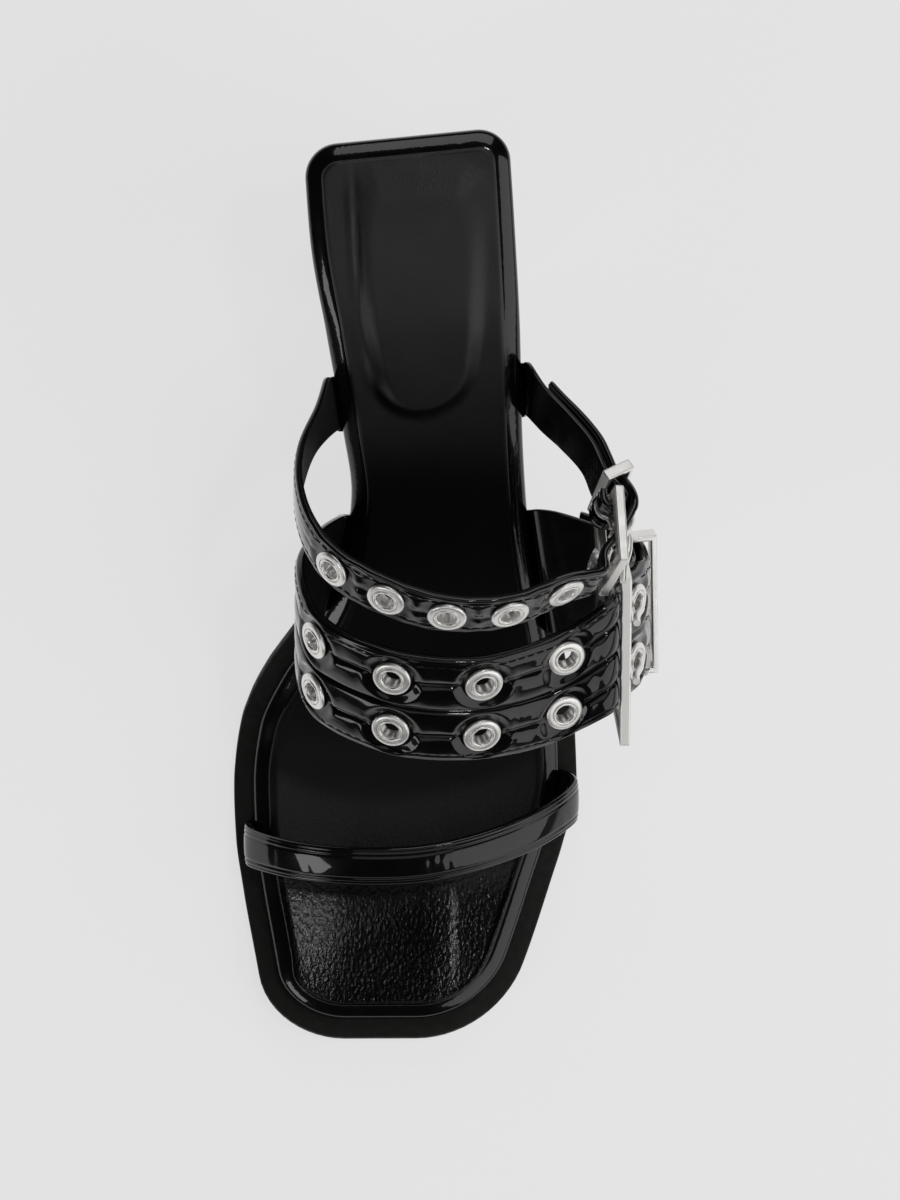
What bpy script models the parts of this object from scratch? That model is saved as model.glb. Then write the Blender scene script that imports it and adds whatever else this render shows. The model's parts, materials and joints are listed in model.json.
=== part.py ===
"""Left buckle-strap mule with a block heel, as separate solids in metres.

The toe points to -Y, the heel to +Y, the outer side of the foot to +X and up is +Z.
All sizes below are in millimetres.
"""
import math

import bmesh
import bpy
import numpy as np
from mathutils import Matrix, Vector

MM = 0.001
GAP = 0.3

# Where the assembly sits, so that its box is centred on the origin
ASSEMBLY_X = 1.0
ASSEMBLY_Y = 0.0

# Rim of the footbed seen from the side, toe to heel
RIM_SIDE = (
    # y, z
    (-118.0, 15.0),
    (-95.0, 11.3),
    (-72.0, 9.3),
    (-44.0, 9.3),
    (-30.0, 12.4),
    (-17.5, 18.3),
    (-2.5, 27.6),
    (12.5, 37.6),
    (27.5, 47.0),
    (42.5, 56.0),
    (57.5, 64.6),
    (72.5, 71.6),
    (92.5, 76.8),
    (120.0, 81.5),
)

# Rim of the footbed seen from above, toe to heel
RIM_PLAN = (
    # y, medial x, lateral x
    (-112.0, -40.5, 9.5),
    (-100.0, -43.0, 13.3),
    (-88.0, -45.2, 17.6),
    (-76.0, -47.4, 21.7),
    (-63.0, -49.3, 25.9),
    (-48.0, -49.9, 29.4),
    (-35.0, -48.3, 29.0),
    (-22.5, -42.4, 27.2),
    (-13.0, -35.8, 25.4),
    (0.0, -29.0, 22.6),
    (12.0, -26.4, 20.3),
    (24.0, -25.4, 18.8),
    (40.0, -27.8, 17.4),
    (64.0, -32.2, 16.1),
    (89.0, -36.4, 14.3),
    (114.0, -38.3, 12.4),
)
TOE_Y = -109.0
HEEL_Y = 112.8
TOE_CORNER_MEDIAL = (15.0, 12.0)
TOE_CORNER_LATERAL = (18.0, 16.0)
HEEL_CORNER = (8.0, 8.0)
HEEL_SKEW = 0.1
HEEL_SKEW_FROM = 45.0
HEEL_SKEW_TO = 105.0

# Layers of the sole, as depths below the rim
FOOTBED_DEPTH = 5.0
OUTSOLE_TOP_DEPTH = FOOTBED_DEPTH + GAP
SOLE_DEPTH = 9.3
FOOTBED_RINGS = (
    # inset, depth
    (0.5, FOOTBED_DEPTH),
    (0.0, 4.0),
    (0.0, 2.0),
    (0.6, 0.7),
    (1.9, 0.0),
)
INSOLE_RINGS = (
    # inset, depth
    (4.0, -GAP),
    (4.0, -1.02),
    (4.9, -1.5),
)
OUTSOLE_RINGS = (
    # inset from the flange's edge, depth
    (1.0, SOLE_DEPTH),
    (0.0, 8.5),
    (0.0, 5.9),
    (0.6, OUTSOLE_TOP_DEPTH),
)
SOLE_COLUMNS = 2
INSOLE_COLUMNS = 8

# Flange of the outsole outside the footbed
FLANGE = (
    # y, width
    (-118.0, 4.7),
    (-60.0, 5.0),
    (-15.0, 3.8),
    (5.0, 1.2),
    (20.0, -0.5),
    (80.0, -0.5),
)
OUTSOLE_END_Y = 68.0
OUTSOLE_END_CORNER = (2.0, 2.0)

# Raised pad under the heel of the foot
PAD_FRONT_Y = 47.0
PAD_BACK_Y = 104.0
PAD_FRONT_CENTRE_X = -6.5
PAD_BACK_CENTRE_X = -10.0
PAD_FRONT_HALF_WIDTH = 8.5
PAD_BACK_HALF_WIDTH = 16.5
PAD_RISE = 1.8
PAD_SOFT = 5.0
PAD_WIDENING = 1.6

# Block heel under the seat
HEEL_BREAST_Y = OUTSOLE_END_Y + GAP
HEEL_INSET = 1.5
HEEL_FOOT_LENGTH = 31.0
HEEL_FOOT_WIDTH = 33.0
HEEL_FOOT_CENTRE = (-11.3, 91.0)
TOP_PIECE_HEIGHT = 5.7
TOP_PIECE_RINGS = (
    # inset, z
    (0.0, TOP_PIECE_HEIGHT),
    (0.0, 0.8),
    (0.8, 0.0),
)
HEEL_LEVELS = 6
HEEL_COLUMNS = 2
HEEL_CORNER_STEPS = 5
HEEL_FLARE = 0.75

# Leather straps
STRAP_THICK = 1.8
TAB_THICK = 1.6
MARGIN_LENGTH = 9.0
MARGIN_DEPTH = FOOTBED_DEPTH + GAP + STRAP_THICK / 2
SEAT_SLACK = 0.7
SEAT_DEPTH = MARGIN_DEPTH + STRAP_THICK / 2 + GAP + SEAT_SLACK
SEAT_OVERRUN = 1.0
SEAT_REACH = 3.4
SEAT_PLAY = 1.3
SEAT_STATIONS = 5
SEAT_OUTSIDE = -(2 * GAP + STRAP_THICK / 2)
SEAT_PLACES = (
    # inset from the rim, depth
    (MARGIN_LENGTH, MARGIN_DEPTH),
    (1.8, MARGIN_DEPTH),
    (-0.4, MARGIN_DEPTH - 0.1),
    (SEAT_OUTSIDE, MARGIN_DEPTH - 1.6),
    (SEAT_OUTSIDE, 3.0),
    (SEAT_OUTSIDE - 0.2, 0.0),
)
STRAP_SPAN = 7.0
TAB_SPAN = 3.4
LEAST_SLANT = 0.6
TANGENT_REACH = 1.0
SEARCH_STEP = 0.2
LOOP_EASE = 1.0

TOE_STRAP_WIDTH = 10.2
TOE_STRAP_SEATS = {"medial": (-58.6, -68.8), "lateral": (-45.6, -56.4)}
TOE_STRAP_ROUTE = (
    # x, y, z, pitch, sweep, flare
    (-51.2, -64.8, 12.5, 6.0, 0.0, 0.0),
    (-46.6, -66.4, 19.0, 14.0, 0.0, 0.0),
    (-35.5, -68.4, 27.0, 20.0, 0.0, 0.0),
    (-19.5, -69.2, 31.3, 22.0, 0.0, 0.0),
    (-6.5, -68.5, 31.8, 22.0, 0.0, 0.0),
    (7.6, -65.6, 29.8, 21.0, 0.0, 0.0),
    (22.3, -60.2, 24.6, 17.0, 0.0, 0.0),
    (30.4, -55.6, 18.6, 12.0, 0.0, 0.0),
    (33.4, -52.6, 12.6, 6.0, 0.0, 0.0),
)

VAMP_WIDTH = 32.0
VAMP_SEATS = {"medial": (20.0, -4.8), "lateral": (21.5, -9.6)}
VAMP_ROUTE = (
    # x, y, z, pitch, sweep, flare
    (-33.6, 4.0, 46.0, 35.0, -4.0, 0.0),
    (-38.3, -3.5, 59.0, 37.0, 0.0, 0.0),
    (-34.6, -17.2, 72.5, 38.0, 0.0, 0.0),
    (-17.0, -26.0, 80.6, 37.0, 0.0, 0.0),
    (-5.7, -27.8, 81.4, 37.5, 0.0, 0.0),
    (5.6, -27.6, 80.2, 37.5, 0.0, 0.0),
    (26.4, -21.8, 74.2, 32.0, 0.0, 0.0),
)
VAMP_LANES = (
    # across, rise of the padded outside
    (-1.0, 0.0),
    (-0.75, 0.6),
    (-0.5, 0.0),
    (-0.25, 0.6),
    (0.0, 0.0),
    (0.25, 0.6),
    (0.5, 0.0),
    (0.75, 0.6),
    (1.0, 0.0),
)
VAMP_TAB_ROUTE = (
    # x, y, z, pitch, sweep, flare
    (45.6, -5.0, 50.5, 27.0, 2.0, 0.0),
    (44.4, 0.2, 45.4, 29.0, 4.0, 0.0),
    (37.5, 3.2, 40.2, 31.0, 8.0, 3.0),
    (29.0, 5.2, 36.5, 32.0, 11.0, 6.0),
)

INSTEP_WIDTH = 13.0
INSTEP_SEATS = {"medial": (54.6, 41.4), "lateral": (58.0, 45.0)}
INSTEP_ROUTE = (
    # x, y, z, pitch, sweep, flare
    (-34.8, 41.4, 68.6, 36.0, -4.0, 0.0),
    (-38.4, 33.6, 76.6, 41.0, 0.0, 0.0),
    (-39.6, 24.6, 85.4, 44.0, 0.0, 0.0),
    (-36.6, 14.2, 93.6, 44.0, 0.0, 0.0),
    (-32.1, 8.0, 97.4, 44.0, 0.0, 0.0),
    (-18.6, 0.0, 101.4, 47.0, 0.0, 0.0),
    (-3.1, -4.4, 102.2, 52.0, 0.0, 0.0),
    (12.0, -3.6, 100.8, 57.0, 0.0, 0.0),
    (26.3, 2.2, 96.6, 61.0, -5.0, 0.0),
)
PLAIN_LANES = (
    # across, rise of the padded outside
    (-1.0, 0.0),
    (-0.5, 0.4),
    (0.5, 0.4),
    (1.0, 0.0),
)
INSTEP_TAB_ROUTE = (
    # x, y, z, pitch, sweep, flare
    (35.6, 27.4, 76.0, 58.0, -8.0, 0.0),
    (32.6, 34.6, 72.0, 52.0, -4.0, 0.0),
    (27.2, 41.2, 68.6, 45.0, 0.0, 0.0),
    (22.0, 46.6, 65.8, 38.0, 2.0, 0.0),
)

# Buckles: the middle of the far bar, the way down to the pivot bar and the way to the toe
VAMP_BUCKLE = {
    "far_bar": (42.0, -16.2, 71.2),
    "down": (-0.02, 0.37, -0.93),
    "forward": (0.02, -0.91, -0.41),
    "length": 46.0,
    "reach": 17.0,
    "bar": 3.4,
    "thick": 2.6,
    "strap_shift": -3.2,
    "hole_at": 10.2,
    "clear": 1.3,
}
INSTEP_BUCKLE = {
    "far_bar": (37.6, 5.4, 90.6),
    "down": (-0.06, 0.83, -0.55),
    "forward": (-0.2, -0.43, -0.88),
    "length": 20.5,
    "reach": 18.0,
    "bar": 3.0,
    "thick": 2.4,
    "strap_shift": 0.0,
    "hole_at": 11.2,
    "clear": 1.9,
}
FRAME_CORNER = 1.0
EDGE_EASE = 0.35
PIVOT_BAR = 2.4
PIVOT_CORNER = PIVOT_BAR * math.sqrt(0.5)
LOOP_RADIUS = PIVOT_CORNER + GAP + TAB_THICK / 2
LOOP_RETURN = 2.2
LOOP_STEPS = 6
STRAP_CLIMB = (
    # distance from the far bar, share of the reach, share of the rise
    (-1.5, 0.0, 0.0),
    (2.5, 0.0, 0.03),
    (0.0, 0.45, 0.47),
    (0.0, 0.75, 0.83),
    (0.0, 1.0, 1.0),
)
STRAP_OVER_PIVOT = LOOP_RADIUS + TAB_THICK / 2 + GAP + STRAP_THICK / 2 + 0.2
TAIL_RISE = TAB_THICK / 2 + STRAP_THICK / 2 + 2.5 * GAP
TAIL_ROWS = 8
TAIL_FROM = 5.0
VAMP_TAIL_LENGTH = 27.0
INSTEP_TAIL_LENGTH = 36.0

PRONG_THICK = 1.8
PRONG_SIDES = 6
PRONG_SLOT = PRONG_THICK + 2.4
PRONG_SPAN = 2.2
PRONG_WRAP_STEPS = 7
PRONG_WRAP_FROM = 80.0
PRONG_WRAP_TURN = 255.0
PRONG_BEFORE_HOLE = 1.6
PRONG_AFTER_HOLE = 2.2
PRONG_BEND = 2.8
PRONG_LIFT = 0.4
PRONG_OVER_BAR = 0.8

KEEPER_PLAY = 1.6
VAMP_KEEPER = {"width": 4.0, "at": 10.8, "wall": 1.6, "under": 1.2, "over": 1.4}
INSTEP_KEEPER = {"width": 3.0, "at": 7.4, "wall": 1.3, "under": 0.6, "over": 0.7}

# Eyelets
EYELET_FLANGE = 4.85
EYELET_HOLE = 2.3
EYELET_BARREL = 3.0
EYELET_LIFT = 0.55
EYELET_SEGMENTS = 10
EYELET_ROLL = (
    # radius, height above the strap's outside
    (EYELET_HOLE, -2.5),
    (EYELET_BARREL, -3.1),
    (EYELET_BARREL, EYELET_LIFT),
    (EYELET_FLANGE, EYELET_LIFT),
    (4.1, 1.5),
    (EYELET_HOLE, 1.1),
)
EYELET_WELL = 0.25
HOLE_BELOW = 4.0
HOLE_ABOVE = 3.0
OVER_HOLE = 3.0
VAMP_EYELET_FIRST = 28.8
VAMP_EYELET_PITCH = 22.3
VAMP_EYELETS_A_ROW = 5
VAMP_EYELET_ROWS = (-0.5, 0.5)
INSTEP_EYELET_FIRST = 10.8
INSTEP_EYELET_PITCH = 15.1
INSTEP_EYELETS = 7

# Finishes: colour, roughness, metallic value
FINISH = {
    "patent_leather": ((0.006, 0.006, 0.007), 0.12, 0.0),
    "matte_leather": ((0.016, 0.015, 0.015), 0.62, 0.0),
    "sole_rubber": ((0.012, 0.011, 0.010), 0.7, 0.0),
    "heel_lacquer": ((0.007, 0.007, 0.008), 0.25, 0.0),
    "silver_metal": ((0.72, 0.71, 0.69), 0.22, 1.0),
}


def unit(vector):
    """The vector at length one."""
    vector = np.array(vector, float)
    return vector / np.linalg.norm(vector)


def monotone_curve(knots):
    """A smooth curve through (place, value) knots that never overshoots them."""
    places = np.array([knot[0] for knot in knots], float)
    values = np.array([knot[1] for knot in knots], float)
    widths = np.diff(places)
    slopes = np.diff(values) / widths
    tangents = np.zeros(len(places))
    tangents[0] = slopes[0]
    tangents[-1] = slopes[-1]
    for i in range(1, len(places) - 1):
        if slopes[i - 1] * slopes[i] > 0:
            before = 2 * widths[i] + widths[i - 1]
            after = widths[i] + 2 * widths[i - 1]
            tangents[i] = (before + after) / (before / slopes[i - 1] + after / slopes[i])

    def value(place):
        place = min(max(place, places[0]), places[-1])
        i = min(int(np.searchsorted(places, place, side="right")) - 1, len(places) - 2)
        t = (place - places[i]) / widths[i]
        start = (1 + 2 * t) * (1 - t) ** 2 * values[i] + t * (1 - t) ** 2 * widths[i] * tangents[i]
        end = t * t * (3 - 2 * t) * values[i + 1] + t * t * (t - 1) * widths[i] * tangents[i + 1]
        return start + end

    return value


rim_height = monotone_curve(RIM_SIDE)
flange_width = monotone_curve(FLANGE)
rim_edge = {
    "medial": monotone_curve([(row[0], row[1]) for row in RIM_PLAN]),
    "lateral": monotone_curve([(row[0], row[2]) for row in RIM_PLAN]),
}


def ease(t):
    """A soft step from 0 to 1."""
    t = min(max(t, 0.0), 1.0)
    return t * t * (3 - 2 * t)


def rim_tilt(y):
    """Slope of the rim at y, as an angle."""
    return math.atan(rim_height(y + 0.5) - rim_height(y - 0.5))


def sole_point(x, y, depth):
    """A point of the sole, at a depth square to the rim's own slope."""
    tilt = rim_tilt(y)
    return np.array((x, y + depth * math.sin(tilt), rim_height(y) - depth * math.cos(tilt)))


def skewed(x, y):
    """Turns the back of the heel seat square to the axis of the heel."""
    centre = (rim_edge["medial"](y) + rim_edge["lateral"](y)) / 2
    share = ease((y - HEEL_SKEW_FROM) / (HEEL_SKEW_TO - HEEL_SKEW_FROM))
    return y + HEEL_SKEW * share * (x - centre)


def corner_shrink(distance, corner):
    """How far a rounded corner draws the edge in, at a distance from the end."""
    across, along = corner
    left = max(0.0, 1 - distance / along)
    return across * (1 - math.sqrt(1 - left * left))


def plan_rows(toe_y, heel_y, heel_corner, toe_corners, spacing=7.5, corner_steps=6):
    """Rows of the sole from heel to toe: medial x, lateral x and y."""
    toe_run = max(corner[1] for corner in toe_corners.values())
    levels = []
    for step in range(corner_steps + 1):
        angle = math.pi / 2 * step / corner_steps
        levels.append(heel_y - heel_corner[1] * (1 - math.cos(angle)))
    count = round((heel_y - heel_corner[1] - toe_y - toe_run) / spacing)
    inner = np.linspace(heel_y - heel_corner[1], toe_y + toe_run, count + 1)
    levels += list(inner[1:])
    for step in range(corner_steps):
        angle = math.pi / 2 * (corner_steps - 1 - step) / corner_steps
        levels.append(toe_y + toe_run * (1 - math.cos(angle)))
    rows = []
    for y in levels:
        ends = {}
        for side, inward in (("medial", 1), ("lateral", -1)):
            shrink = corner_shrink(heel_y - y, heel_corner)
            if toe_corners[side][1]:
                shrink += corner_shrink(y - toe_y, toe_corners[side])
            ends[side] = rim_edge[side](y) + inward * shrink
        rows.append((ends["medial"], ends["lateral"], y))
    return rows


def ring_of(rows, columns):
    """The outline of the rows as a closed ring: medial side, toe, lateral side, heel."""
    ring = []
    last = len(rows) - 1
    places = [(i, 0) for i in range(last + 1)]
    places += [(last, j) for j in range(1, columns + 1)]
    places += [(i, columns) for i in range(last - 1, -1, -1)]
    places += [(0, j) for j in range(columns - 1, 0, -1)]
    for i, j in places:
        medial, lateral, y = rows[i]
        x = medial + (lateral - medial) * j / columns
        ring.append((x, skewed(x, y)))
    return np.array(ring), places


def inset_ring(ring, amounts):
    """The ring moved inward by an amount for each point, or outward where it is negative."""
    along = np.roll(ring, -1, axis=0) - np.roll(ring, 1, axis=0)
    along /= np.linalg.norm(along, axis=1)[:, None]
    area = np.sum(ring[:, 0] * np.roll(ring[:, 1], -1) - np.roll(ring[:, 0], -1) * ring[:, 1])
    inward = np.stack((-along[:, 1], along[:, 0]), axis=1) * math.copysign(1.0, area)
    return ring + inward * np.array(amounts, float)[:, None]


def make_object(name, verts, faces, finish, sharp_deg=35.0):
    """One closed body from points in millimetres."""
    mesh = bpy.data.meshes.new(name)
    mesh.from_pydata([tuple(float(c) * MM for c in v) for v in verts], [], faces)
    body = bmesh.new()
    body.from_mesh(mesh)
    bmesh.ops.recalc_face_normals(body, faces=body.faces)
    body.to_mesh(mesh)
    body.free()
    mesh.shade_smooth()
    mesh.set_sharp_from_angle(angle=math.radians(sharp_deg))
    mesh.materials.append(MATERIALS[finish])
    obj = bpy.data.objects.new(name, mesh)
    bpy.context.scene.collection.objects.link(obj)
    obj.parent = ASSEMBLY
    return obj


def plate(name, rows, columns, rings, finish, flange=None, relief=None):
    """A layer of the sole: rings of inset and depth from its underside to its top."""
    flange = flange or no_flange
    ring, places = ring_of(rows, columns)
    count = len(ring)
    last = len(rows) - 1
    verts = []
    faces = []
    for inset, depth in rings:
        moved = inset_ring(ring, [inset - flange(y) for x, y in ring])
        verts += [sole_point(x, y, depth) for x, y in moved]
    for level in range(len(rings) - 1):
        for k in range(count):
            a = level * count + k
            b = level * count + (k + 1) % count
            faces.append((a, b, b + count, a + count))
    for level in (0, len(rings) - 1):
        inset, depth = rings[level]
        moved = inset_ring(ring, [inset - flange(y) for x, y in ring])
        index = {place: level * count + k for k, place in enumerate(places)}
        plan = {place: moved[k] for k, place in enumerate(places)}
        if not level:
            faces += [underside_face(index, i, last, columns) for i in range(last)]
            continue
        for i in range(1, last):
            for j in range(1, columns):
                share = j / columns
                x, y = plan[(i, 0)] * (1 - share) + plan[(i, columns)] * share
                lift = relief(x, y) if relief else 0.0
                index[(i, j)] = len(verts)
                verts.append(sole_point(x, y, depth - lift))
        for i in range(last):
            for j in range(columns):
                faces.append((index[(i, j)], index[(i, j + 1)], index[(i + 1, j + 1)], index[(i + 1, j)]))
    return make_object(name, verts, faces, finish)


def underside_face(index, i, last, columns):
    """A strip of the underside between two rows, with every point of the outline on it."""
    inner = range(columns + 1)
    upper = [index[(i, j)] for j in inner if i == 0 or j in (0, columns)]
    lower = [index[(i + 1, j)] for j in inner if i + 1 == last or j in (0, columns)]
    return tuple(upper + lower[::-1])


def no_flange(y):
    """A layer that ends at the rim."""
    return 0.0


def pad_relief(x, y):
    """Height of the soft heel pad over the insole."""
    share = (y - PAD_FRONT_Y) / (PAD_BACK_Y - PAD_FRONT_Y)
    grow = ease(share * PAD_WIDENING)
    centre = PAD_FRONT_CENTRE_X + (PAD_BACK_CENTRE_X - PAD_FRONT_CENTRE_X) * share
    half = PAD_FRONT_HALF_WIDTH + (PAD_BACK_HALF_WIDTH - PAD_FRONT_HALF_WIDTH) * grow
    side = ease((half - abs(x - centre)) / PAD_SOFT)
    end = ease((y - PAD_FRONT_Y) / PAD_SOFT) * ease((PAD_BACK_Y - y) / PAD_SOFT)
    return PAD_RISE * side * end


def build_sole():
    """Outsole, footbed and insole."""
    toe_corners = {"medial": TOE_CORNER_MEDIAL, "lateral": TOE_CORNER_LATERAL}
    rows = plan_rows(TOE_Y, HEEL_Y, HEEL_CORNER, toe_corners)
    plate("footbed", rows, SOLE_COLUMNS, FOOTBED_RINGS, "patent_leather")
    plate("insole", rows, INSOLE_COLUMNS, INSOLE_RINGS, "matte_leather", relief=pad_relief)
    sole_rows = plan_rows(TOE_Y, OUTSOLE_END_Y, OUTSOLE_END_CORNER, toe_corners)
    outsole = plate("outsole", sole_rows, SOLE_COLUMNS, OUTSOLE_RINGS, "sole_rubber", flange=flange_width)
    seats = bpy.data.objects.new("strap_seats", joined_mesh("strap_seats", [
        strap_seat(side, *strap[side])
        for strap in (TOE_STRAP_SEATS, VAMP_SEATS, INSTEP_SEATS)
        for side in ("medial", "lateral")
    ]))
    cut(outsole, seats)


def joined_mesh(name, shells):
    """One mesh of several closed shells, each a (points, faces) pair."""
    verts = []
    faces = []
    for points, shell_faces in shells:
        start = len(verts)
        verts += [tuple(float(c) * MM for c in p) for p in points]
        faces += [tuple(start + k for k in face) for face in shell_faces]
    mesh = bpy.data.meshes.new(name)
    mesh.from_pydata(verts, [], faces)
    body = bmesh.new()
    body.from_mesh(mesh)
    bmesh.ops.recalc_face_normals(body, faces=body.faces)
    body.to_mesh(mesh)
    body.free()
    return mesh


def cut(obj, cutter):
    """Takes the cutter's shape out of the object."""
    bpy.context.scene.collection.objects.link(cutter)
    cutter.parent = ASSEMBLY
    cutter.hide_render = True
    cutter.display_type = "WIRE"
    modifier = obj.modifiers.new(cutter.name, "BOOLEAN")
    modifier.operation = "DIFFERENCE"
    modifier.solver = "EXACT"
    modifier.object = cutter


def edge_place(side, y, inset):
    """A place in plan beside the rim, inset from it or outside it where negative."""
    x = rim_edge[side](y)
    lean = rim_edge[side](y + 0.5) - rim_edge[side](y - 0.5)
    inward = 1 if side == "medial" else -1
    scale = inset * inward / math.hypot(1, lean)
    return x + scale, y - lean * scale


def seat_point(side, y, inset, depth):
    """A point of a strap's end beside the rim, straight below its place on the rim's side."""
    return sole_point(*edge_place(side, y - depth * math.sin(rim_tilt(y)), inset), depth)


def strap_seat(side, rear_y, front_y):
    """The pocket in the top of the outsole where a strap's end goes under the footbed."""
    points = []
    faces = []
    stations = SEAT_STATIONS
    ends = (rear_y + SEAT_PLAY, front_y - SEAT_PLAY)
    corners = (
        (MARGIN_LENGTH + SEAT_OVERRUN, OUTSOLE_TOP_DEPTH - SEAT_OVERRUN),
        (MARGIN_LENGTH + SEAT_OVERRUN, SEAT_DEPTH),
        (-SEAT_REACH, SEAT_DEPTH),
        (-SEAT_REACH, OUTSOLE_TOP_DEPTH - SEAT_OVERRUN),
    )
    for y in np.linspace(*ends, stations):
        for inset, depth in corners:
            points.append(seat_point(side, y, inset, depth))
    for i in range(stations - 1):
        for k in range(4):
            a = i * 4 + k
            b = i * 4 + (k + 1) % 4
            faces.append((a, b, b + 4, a + 4))
    faces.append((0, 1, 2, 3))
    top = (stations - 1) * 4
    faces.append((top + 3, top + 2, top + 1, top))
    return points, faces


def build_heel():
    """Block heel and its top piece."""
    open_toe = {"medial": (0.0, 0.0), "lateral": (0.0, 0.0)}
    rows = plan_rows(HEEL_BREAST_Y, HEEL_Y, HEEL_CORNER, open_toe, corner_steps=HEEL_CORNER_STEPS)
    ring, places = ring_of(rows[:-HEEL_CORNER_STEPS], HEEL_COLUMNS)
    seat = inset_ring(ring, [HEEL_INSET] * len(ring))
    centre = (seat.min(axis=0) + seat.max(axis=0)) / 2
    size = seat.max(axis=0) - seat.min(axis=0)
    shrink = np.array((HEEL_FOOT_WIDTH, HEEL_FOOT_LENGTH)) / size
    foot = np.array(HEEL_FOOT_CENTRE) + (seat - centre) * shrink
    foot_z = TOP_PIECE_HEIGHT + GAP
    verts = []
    for level in range(HEEL_LEVELS + 1):
        fall = level / HEEL_LEVELS
        blend = fall ** HEEL_FLARE
        for k in range(len(seat)):
            top = sole_point(*seat[k], FOOTBED_DEPTH + GAP)
            low = np.array((*foot[k], foot_z))
            plan = top * (1 - blend) + low * blend
            verts.append((plan[0], plan[1], top[2] * (1 - fall) + foot_z * fall))
    heel_prism("heel", verts, places, "heel_lacquer")
    verts = []
    for inset, z in TOP_PIECE_RINGS:
        verts += [(x, y, z) for x, y in inset_ring(foot, [inset] * len(foot))]
    heel_prism("heel_top_piece", verts, places, "sole_rubber")


def heel_prism(name, verts, places, finish):
    """Closes rings of points, one above the other, into a body."""
    faces = []
    columns = HEEL_COLUMNS
    count = len(places)
    levels = len(verts) // count - 1
    last = max(i for i, j in places)
    for level in range(levels):
        for k in range(count):
            a = level * count + k
            b = level * count + (k + 1) % count
            faces.append((a, b, b + count, a + count))
    verts = list(verts)
    for level in (0, levels):
        index = {place: level * count + k for k, place in enumerate(places)}
        for i in range(1, last):
            for j in range(1, columns):
                side = [np.array(verts[index[(i, edge)]]) for edge in (0, columns)]
                index[(i, j)] = len(verts)
                verts.append(side[0] + (side[1] - side[0]) * j / columns)
        for i in range(last):
            for j in range(columns):
                faces.append((index[(i, j)], index[(i, j + 1)], index[(i + 1, j + 1)], index[(i + 1, j)]))
    make_object(name, verts, faces, finish)


class Band:
    """A leather band along rows of (rear edge, front edge), smooth along its length."""

    def __init__(self, rows, span=STRAP_SPAN):
        knots = np.array(rows, float).reshape(len(rows), 6)
        centre = (knots[:, :3] + knots[:, 3:]) / 2
        steps = np.linalg.norm(np.diff(centre, axis=0), axis=1)
        places = np.concatenate(([0.0], np.cumsum(steps)))
        tangents = np.gradient(knots, places, axis=0)
        samples = []
        for i, length in enumerate(steps):
            pieces = max(1, math.ceil(length / span))
            for t in np.arange(pieces) / pieces:
                start = (1 + 2 * t) * (1 - t) ** 2 * knots[i] + t * (1 - t) ** 2 * length * tangents[i]
                end = t * t * (3 - 2 * t) * knots[i + 1] + t * t * (t - 1) * length * tangents[i + 1]
                samples.append(start + end)
        samples.append(knots[-1])
        samples = np.array(samples)
        self.rear = samples[:, :3]
        self.front = samples[:, 3:]
        self.middle = (self.rear + self.front) / 2
        lengths = np.linalg.norm(np.diff(self.middle, axis=0), axis=1)
        self.length = np.concatenate(([0.0], np.cumsum(lengths)))

    def middle_at(self, length):
        return np.array([np.interp(length, self.length, column) for column in self.middle.T])

    def at(self, length, across=0.0):
        """Point, direction along, direction to the front edge and direction out."""
        pick = [np.interp(length, self.length, self.rear[:, c]) for c in range(3)]
        rear = np.array(pick)
        front = np.array([np.interp(length, self.length, self.front[:, c]) for c in range(3)])
        ahead = self.middle_at(length + TANGENT_REACH)
        behind = self.middle_at(length - TANGENT_REACH)
        forward = unit(front - rear)
        along = unit(ahead - behind)
        out = unit(np.cross(forward, along))
        point = (rear + front) / 2 + (front - rear) / 2 * across
        return point, along, forward, out

    def nearest(self, point):
        """Length along the band where its middle comes nearest to a point."""
        lengths = np.arange(0.0, self.length[-1], SEARCH_STEP)
        middles = np.stack([np.interp(lengths, self.length, self.middle[:, c]) for c in range(3)], axis=1)
        return lengths[int(np.argmin(np.linalg.norm(middles - np.array(point), axis=1)))]

    def solid(self, name, thick, lanes, finish):
        """The band as a body of leather with padded lanes on its outside."""
        count = len(self.rear)
        width = len(lanes)
        along = [np.gradient(self.rear, axis=0), np.gradient(self.front, axis=0)]
        verts = []
        for k in range(count):
            loop_out = []
            loop_in = []
            for across, rise in lanes:
                share = (across + 1) / 2
                point = self.rear[k] * (1 - share) + self.front[k] * share
                run = along[0][k] * (1 - share) + along[1][k] * share
                out = unit(np.cross(self.front[k] - self.rear[k], run))
                loop_out.append(point + out * (thick / 2 + rise))
                loop_in.append(point - out * thick / 2)
            verts += loop_out + loop_in[::-1]
        size = 2 * width
        faces = []
        for k in range(count - 1):
            for j in range(size):
                a = k * size + j
                b = k * size + (j + 1) % size
                faces.append((a, b, b + size, a + size))
        for k in (0, count - 1):
            for j in range(width - 1):
                a = k * size + j
                c = k * size + size - 1 - j
                faces.append((a, a + 1, c - 1, c))
        return make_object(name, verts, faces, finish)


def seat_rows(side, rear_y, front_y):
    """Rows of a strap's end from under the footbed, round its edge, to the rim."""
    return [[seat_point(side, y, inset, depth) for y in (rear_y, front_y)] for inset, depth in SEAT_PLACES]


def route_rows(route, width):
    """Rows of a strap from a table of middle points with the pitch, sweep and flare of its width."""
    middles = np.array([row[:3] for row in route], float)
    runs = np.gradient(middles, axis=0)
    rows = []
    for middle, run, row in zip(middles, runs, route):
        pitch = math.radians(row[3])
        sweep = math.radians(row[4])
        level = math.cos(sweep)
        forward = np.array((math.sin(sweep), -math.cos(pitch) * level, -math.sin(pitch) * level))
        slant = np.linalg.norm(np.cross(forward, unit(run)))
        half = forward * (width + row[5]) / 2 / max(slant, LEAST_SLANT)
        rows.append((middle - half, middle + half))
    return rows


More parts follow.
